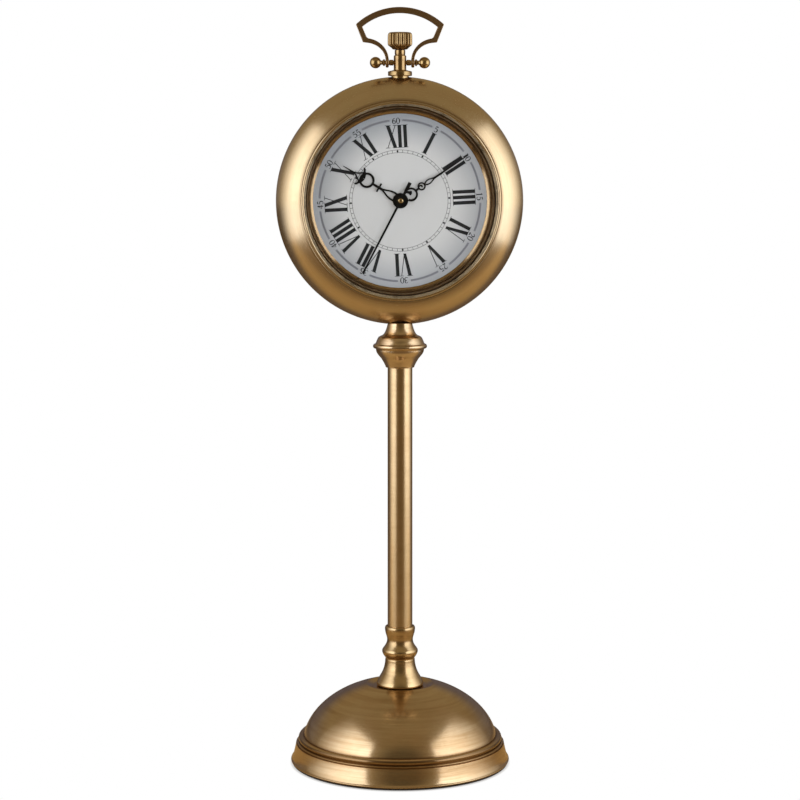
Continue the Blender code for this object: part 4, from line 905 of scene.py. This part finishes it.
def hand_shapes(angle, rings, strokes, twins=()):
    """The flat shapes of a hand, which overlap; places are (along, left) of it.

    rings are (place, outer radius, inner radius, steps) and strokes are (points, widths, steps for each
    point); twins are strokes that are drawn on both sides.
    """
    shapes = [[ring_points(outer, steps, place), ring_points(inner, steps, place)]
              for place, outer, inner, steps in rings]
    mirrored = [([(s, side * t) for s, t in points], widths, steps)
                for side in (-1, 1) for points, widths, steps in twins]
    for points, widths, steps in mirrored + strokes:
        line = curve(points, steps) if len(points) > 2 else points
        shapes.append([ribbon(line, widths)])
    return [[[(s * sin(angle) - t * cos(angle), s * cos(angle) + t * sin(angle)) for s, t in loop]
             for loop in loops] for loops in shapes]


def hour_shapes():
    twins = [([(4.2, 2.6), (7.0, 2.75), (10.0, 2.15), (12.6, 1.15), (14.6, 0.45)],
              [1.6, 1.35, 1.2, 1.25, 1.4], 5),
             ([(33.0, 3.6), (35.0, 2.2), (37.0, 0.95), (38.8, 0.3)], [1.0, 1.0, 1.1, 1.1], 5),
             ([(31.6, 0), (31.9, 1.9), (32.8, 4.2), (33.9, 6.2)], [3.0, 2.7, 1.9, 0.9], 5),
             ([(33.2, 5.4), (34.3, 6.4), (35.1, 6.6)], [1.7, 1.2, 0.5], 5)]
    strokes = [([(14.0, 0), (23.2, 0)], [2.0, 1.7], 1),
               ([(18.1, -3.5), (18.1, 3.5)], [1.3, 2.0, 1.3], 1),
               ([(38.2, 0), (41.5, 0), (48.4, 0)], [1.7, 1.1, 0.45], 4)]
    return hand_shapes(HOUR_ANGLE, [((0, 0), 5.5, 2.6, 40), ((28.4, 0), 5.65, 4.0, 40)], strokes, twins)


def minute_shapes():
    twins = [([(21.2, 0.25), (23.2, 1.25), (25.4, 1.45), (27.4, 0.85), (29.4, 0.2)],
              [1.2, 1.05, 0.95, 1.0, 1.15], 5)]
    strokes = [(arc((8.9, -0.5), (4.3, 4.3), -150, 128, 30), [1.7, 1.6, 1.5, 1.5, 1.2], 1),
               ([(6.2, 2.9), (7.2, 2.7), (8.4, 1.6), (9.2, 0.5)], [1.1, 1.5, 2.1, 1.7], 5),
               ([(8.0, -0.6), (9.4, 0.7), (10.4, 1.6)], [1.2, 2.1, 0.8], 5),
               ([(12.9, -0.3), (15.9, 0)], [1.7, 1.5], 1),
               ([(16.6, 0.9), (17.9, 1.1), (18.9, 0.2), (18.4, -0.6)], [1.0, 1.1, 1.3, 1.0], 5),
               ([(29.0, 0), (48.0, 0), (59.4, 0)], [1.6, 1.1, 0.45], 3)]
    rings = [((0, 0), 5.6, 2.6, 40), ((18.5, 0.1), 3.05, 1.85, 40)]
    return hand_shapes(MINUTE_ANGLE, rings, strokes, twins)


def second_shapes():
    strokes = [([(1.8, 0), (30.0, 0), (59.2, 0)], [1.7, 1.5, 1.15], 3),
               ([(-1.8, 0), (-8.0, 0), (-14.8, 0)], [1.5, 2.2, 2.7], 3)]
    return hand_shapes(SECOND_ANGLE, [((0, 0), 2.6, 0.6, 28)], strokes)


def make_hands():
    for hand, shapes, y, edge in (("hour_hand", hour_shapes(), HOUR_Y, 0.09),
                                  ("minute_hand", minute_shapes(), MINUTE_Y, 0.09),
                                  ("second_hand", second_shapes(), SECOND_Y, 0.08)):
        mesh = combined([plates([loops], y, y + HAND_THICKNESS) for loops in shapes], "UNION")
        mesh.transform(Matrix.Translation(Vector(CASE_CENTRE) * MM))
        bevel(fine(hand, mesh, hand_enamel, hand), edge)

    y = NUT_LOW.y
    nut = [
        (0.75, y), (1.5, y), (2.1, y + 0.12), (2.55, y + 0.45), (2.7, y + 0.8), (2.7, NUT_HIGH.y),
        (0.75, NUT_HIGH.y)]
    fine("minute_hand_nut", turned_about_dial(nut, 48), nut_brass, "minute_hand")
    y = BUSH_LOW.y
    bush = [
        (0, y), (1.0, y), (1.45, y + 0.15), (1.8, y + 0.55), (1.8, BUSH_HIGH.y), (0.45, BUSH_HIGH.y),
        (0.45, y + 1.0), (0, y + 1.0)]
    fine("second_hand_bush", turned_about_dial(bush, 40, closed=False), nut_brass, "second_hand")


# ---- pendant, crown and bow

def make_pendant():
    bore = 1.6
    flange = 8.75
    barrel = 4.55
    foot_z = 493.7
    profile = [(bore, foot_z), (6.4, foot_z), (6.4, 496.3), (flange - 0.6, 496.5)]
    profile += arch((flange - 0.5, 497.0), (0.5, 0.5), -80, 0, 5)
    profile += arch((flange - 0.6, 499.3), (0.6, 0.5), 0, 80, 5)
    profile += curve([(flange - 1.0, 499.95), (7.2, 500.1), (6.2, 500.3), (5.6, 500.5)], 3)
    profile += [(barrel + 0.35, 500.55), (barrel + 0.1, 500.8), (barrel, 501.4), (barrel, 510.6)]
    profile += arch((barrel - 0.6, 510.6), (0.6, 0.8), 0, 90, 5)
    profile += [
        (3.75, 511.45), (3.65, 511.8), (3.75, 512.1), (3.85, 512.5), (3.85, 515.0), (3.6, 515.3),
        (bore, 515.3)]
    fine("pendant", combined([turned(profile, ROUND_SMALL), case_hollow()], "DIFFERENCE"), worn_brass)
    stem = [(bore, 483.0), (3.0, 483.0), (3.0, 495.5), (bore, 495.5)]
    piece("pendant_stem", turned(stem, 32), worn_brass)


def make_crown():
    """A fluted crown: its outline waves in and out, and its rounded ends draw it in."""
    flutes = 18
    steps = 10
    groove = 1.35
    bottom = CROWN_LOW.z
    top = CROWN_HIGH.z
    radius = CROWN_HIGH.x
    # (height, share of the radius, share of the grooves' depth)
    levels = [
        (bottom, 0.50, 0.0), (bottom + 0.25, 0.60, 0.0), (bottom + 1.3, 0.70, 0.0),
        (bottom + 2.2, 0.84, 0.15), (bottom + 2.9, 0.94, 0.6), (bottom + 3.5, 0.985, 1.0),
        (bottom + 4.4, 1.0, 1.0), (bottom + 7.0, 1.0, 1.0), (top - 2.4, 0.995, 1.0),
        (top - 1.4, 0.975, 0.95), (top - 0.6, 0.93, 0.6), (top - 0.15, 0.86, 0.2), (top, 0.78, 0.0)]
    bm = bmesh.new()
    rings = []
    for z, scale, depth in levels:
        ring = []
        for i in range(flutes * steps):
            angle = 2 * pi * i / (flutes * steps)
            wave = abs(sin(flutes * angle / 2))
            r = radius * scale - groove * depth * (1 - wave ** 0.75)
            ring.append(bm.verts.new((r * cos(angle), r * sin(angle), z)))
        rings.append(ring)
    for lower, upper in zip(rings, rings[1:]):
        for i in range(len(lower)):
            j = (i + 1) % len(lower)
            bm.faces.new((lower[i], lower[j], upper[j], upper[i]))
    for ring, z in ((rings[0], bottom + 0.05), (rings[-1], top - 0.08)):
        hub = bm.verts.new((0, 0, z))
        for i in range(len(ring)):
            bm.faces.new((ring[i], ring[(i + 1) % len(ring)], hub))
    fine("crown", finish_mesh("crown", bm, 40), worn_brass)


def bow_outline():
    """The bow's bar: a shallow arch, two sloping sides and two curved arms."""
    bar = 4.4
    corner = (BOW_HALF_WIDTH, 533.9)
    elbow = (26.9, 520.9)
    arm = (25.3, 507.6)
    rise = BOW_TOP_Z - corner[1]
    radius = (corner[0] ** 2 + rise ** 2) / (2 * rise)
    middle = (0, BOW_TOP_Z - radius)
    reach = degrees(asin(corner[0] / radius))
    outer = arc(middle, (radius, radius), 90 - reach, 90 + reach, 40)
    inner = arc(middle, (radius - bar, radius - bar), 90 - reach * 0.935, 90 + reach * 0.935, 40)
    right = arc(arm, (-14.9, 13.0), -4, 84, 22) + [elbow]
    right_inner = arc(arm, (-17.1, 16.2), -4, 82, 22) + [(elbow[0] - 2.6, elbow[1] + 3.7)]
    left = [(-x, z) for x, z in right[::-1]]
    left_inner = [(-x, z) for x, z in right_inner]
    return right + outer + left + left_inner + inner[::-1] + right_inner[::-1]


def make_bow():
    half_thickness = 1.5
    ball = 4.2
    ball_x = 17.75
    neck = 0.62                # angle from the ball's inner pole to its neck, in radians
    bar = piece("bow_bar", plates([[bow_outline()]], -half_thickness, half_thickness), bow_brass, "bow",
                ["bow"])
    bevel(bar, 0.4, 3, 60)
    eyelet = [
        (1.85, 8.4), (2.9, 8.2), (3.4, 8.4), (3.6, 8.9), (3.6, 9.8), (3.4, 10.2), (2.9, 10.4),
        (1.85, 10.2)]
    screw = [
        (0, 2.6), (1.5, 2.6), (1.5, 4.8), (2.1, 4.9), (2.1, 7.4), (1.95, 7.8), (1.5, 7.9), (1.5, 10.6),
        (1.55, 10.95), (2.1, 11.0), (2.5, 11.3), (2.5, 11.9), (2.2, 12.3), (1.6, 12.6), (1.5, 13.2),
        (1.65, 13.8), (2.1, 14.4)]
    turns = [neck + (pi - neck) * i / 20 for i in range(20)]
    screw += [(ball * sin(a), ball_x - ball * cos(a)) for a in turns] + [(0, ball_x + ball)]
    for side, name in ((-1, "left"), (1, "right")):
        mesh = turned([(r, side * x) for r, x in eyelet], 48, "X", centre=BOW_PIVOT)
        piece(f"bow_eyelet_{name}", mesh, bow_brass, "bow")
        mesh = turned([(r, side * x) for r, x in screw], 48, "X", False, BOW_PIVOT)
        fine(f"bow_screw_{name}", mesh, screw_brass)


# ---- CAD pieces that are shown as they are

KEPT_FINISH = {
    plated_steel: ["tie_rod", "tie_rod_washer", "tie_rod_nut", "case_washer", "case_nut", "dial_support",
                   "pendant_nut", "crown_stem", "quartz_crystal", "stator",
                   *(f"cover_screw_{number}" for number in range(1, 5))],
    iron: ["base_weight"],
    case_brass: ["rear_cover"],
    nut_brass: ["bush_nut", "cannon_pinion", "centre_wheel"],
    seal_rubber: ["bush_washer"],
    black_plastic: ["movement_front_housing", "movement_rear_housing", "control_chip"],
    knob_plastic: ["setting_knob"],
    board: ["circuit_board"],
    winding: ["coil"],
    spring_steel: ["contact_negative", "contact_positive"],
    white_plastic: ["second_wheel", "third_wheel", "intermediate_wheel", "minute_wheel", "hour_wheel"],
    magnet: ["rotor"],
    jacket: ["battery"],
}


def finish_kept_pieces():
    for material, names in KEPT_FINISH.items():
        for name in names:
            node = frame["nodes"][name]
            node.data.materials.clear()
            node.data.materials.append(material)


# ---- studio; lengths in metres

WHITE = (1, 1, 1)
FOOT_RADIUS = 0.078
SOFTBOX_X = 1.0
SOFTBOX_BOTTOM = -0.015
SOFTBOX_POWER = 7.0            # watts for each square metre
DIAL_LIGHT_SIZE = 1.2
DIAL_LIGHT_POWER = 15.3
DIAL_PIECES = ("dial_plate_fine", "numeral_bars", "numeral_hairlines", "numeral_serifs", "minute_numbers",
               "chapter_arcs", "hour_track")
# The room's tone from in front of the clock (0) to behind it (1).
ROOM_TONES = ((0.30, (0.40, 0.32, 0.19)), (0.65, (0.37, 0.30, 0.18)), (0.86, (0.27, 0.245, 0.24)),
              (1.0, (0.13, 0.12, 0.155)))
ROOM_ABOVE = (0.36, 0.29, 0.17)
CAMERA_DISTANCE = 1.597
CAMERA_HEIGHT = 0.4366
CAMERA_TURN = radians(-3)
LENS_SHIFT = -0.302
SHIFT_REACH = 0.1              # the lens shift is gone when the camera is this far from its place


def staged(name, data, location, rotation=(0, 0, 0)):
    """A studio object, which is not part of the clock."""
    obj = bpy.data.objects.new(name, data)
    obj.location = location
    obj.rotation_euler = rotation
    bpy.context.scene.collection.objects.link(obj)
    return obj


def make_floor():
    """A table that the camera sees as white paper, and that looks warm and dim in the brass."""
    s = Finish("pale_floor")
    paper = s.add("BsdfDiffuse", {"Color": (0.9, 0.9, 0.9)})
    white = s.add("Emission", {"Color": WHITE, "Strength": 1.0})
    distance = s.vector_math("LENGTH", s.position).outputs["Value"]
    near = s.spread(distance, FOOT_RADIUS + 0.0002, FOOT_RADIUS + 0.002, 0.5, 0.0)
    seen = s.add("MixShader", {0: near, 1: white.outputs[0], 2: paper.outputs[0]})
    ahead = s.parts(s.position)[1] * -1.0
    tint = s.blend(s.spread(ahead, 0.14, 0.34), (0.80, 0.60, 0.32), (0.30, 0.215, 0.125))
    tint = s.blend(s.spread(ahead, -0.24, -0.07), (0.26, 0.23, 0.24), tint)
    s.camera_split(seen, s.add("BsdfDiffuse", {"Color": tint}))

    bm = bmesh.new()
    bmesh.ops.create_grid(bm, x_segments=8, y_segments=8, size=6000)
    mesh = finish_mesh("floor", bm)
    mesh.materials.append(s.material)
    staged("floor", mesh, (0, 0, -0.0004))


def make_world():
    """White for the camera; for reflections a dim warm room, darker and cooler behind the clock."""
    world = bpy.data.worlds.new("studio")
    bpy.context.scene.world = world
    world.use_nodes = True
    s = Nodes(world.node_tree, "World")
    direction = s.add("TexCoord").outputs["Generated"]
    _, y, z = s.parts(direction)
    ramp = s.add("ValToRGB", {"Fac": y * 0.5 + 0.5})
    stops = ramp.color_ramp.elements
    while len(stops) < len(ROOM_TONES):
        stops.new(1.0)
    for stop, (place, tone) in zip(stops, ROOM_TONES):
        stop.position = place
        stop.color = (*tone, 1)
    tone = s.blend(s.spread(z, 0.25, 0.50), ramp.outputs["Color"], ROOM_ABOVE)
    to_camera = (0, -cos(radians(12)), sin(radians(12)))
    ahead = s.vector_math("DOT_PRODUCT", direction, to_camera).outputs["Value"]
    dim = s.spread(ahead, cos(radians(34)), cos(radians(16)), 1.0, 0.35)
    room = s.add("Background", {"Color": tone, "Strength": dim})
    s.camera_split(s.add("Background", {"Color": WHITE}), room)


def area_light(name, size, power, tone):
    light = bpy.data.lights.new(name, "AREA")
    light.shape = "RECTANGLE"
    light.size, light.size_y = size
    light.energy = power
    light.color = tone
    return light


def make_softbox(name, side, front, back, top):
    """A tall diffusing panel beside the clock that fades towards its back and its top."""
    length = back - front
    height = top - SOFTBOX_BOTTOM
    light = area_light(name, (length, height), SOFTBOX_POWER * length * height, (0.83, 0.90, 1.0))
    light.use_nodes = True
    s = Nodes(light.node_tree, "Light")
    _, y, z = s.parts(s.add("NewGeometry").outputs["Position"])
    fade = (s.spread(y, back - 0.60 * length, back, 1.15, 0.10, "SMOOTHSTEP")
            * s.spread(z, SOFTBOX_BOTTOM + 0.40 * height, top, 1.0, 0.75, "SMOOTHSTEP"))
    s.show(s.add("Emission", {"Color": WHITE, "Strength": fade}))
    staged(name, light, (side * SOFTBOX_X, (front + back) / 2, (top + SOFTBOX_BOTTOM) / 2),
           (radians(90), 0, side * radians(90)))


def make_dial_light():
    """A frontal panel that lights the dial and its print only."""
    receivers = bpy.data.collections.new("dial_light_receivers")
    for name in DIAL_PIECES:
        receivers.objects.link(bpy.data.objects[name])
    place = Vector((0.25, -1.5, 0.2))
    aim = (Vector(CASE_CENTRE) * MM - place).to_track_quat("-Z", "Y").to_euler()
    light = area_light("dial_light", (DIAL_LIGHT_SIZE, DIAL_LIGHT_SIZE), DIAL_LIGHT_POWER, (0.97, 0.98, 1.0))
    staged("dial_light", light, place, aim).light_linking.receiver_collection = receivers


def make_camera():
    camera = bpy.data.cameras.new("camera")
    camera.lens = 99.0
    camera.sensor_width = 36.0
    place = (CAMERA_DISTANCE * sin(CAMERA_TURN), -CAMERA_DISTANCE * cos(CAMERA_TURN), CAMERA_HEIGHT)
    obj = staged("camera", camera, place, (radians(90), 0, CAMERA_TURN))
    bpy.context.scene.camera = obj
    bpy.context.scene.view_settings.view_transform = "Standard"

    # The lens shift belongs to this place: it goes when the camera is moved anywhere else.
    spot = staged("camera_spot", None, place)
    shift = camera.driver_add("shift_y")
    shift.driver.type = "SUM"
    moved = shift.driver.variables.new()
    moved.type = "LOC_DIFF"
    moved.targets[0].id = obj
    moved.targets[1].id = spot
    while shift.modifiers:
        shift.modifiers.remove(shift.modifiers[0])
    shift.keyframe_points.clear()
    for gap, value in ((0.0, LENS_SHIFT), (SHIFT_REACH, 0.0)):
        shift.keyframe_points.insert(gap, value).interpolation = "LINEAR"


make_foot()
make_collar()
make_pillar()
make_ferrule()
make_shells()
make_window()
make_dial()
make_numerals()
make_minute_numbers()
make_tracks()
make_hands()
make_pendant()
make_crown()
make_bow()
finish_kept_pieces()
make_floor()
make_world()
make_softbox("softbox_left", -1, -1.25, 0.45, 1.33)
make_softbox("softbox_right", 1, -1.25, 0.62, 1.22)
make_dial_light()
make_camera()
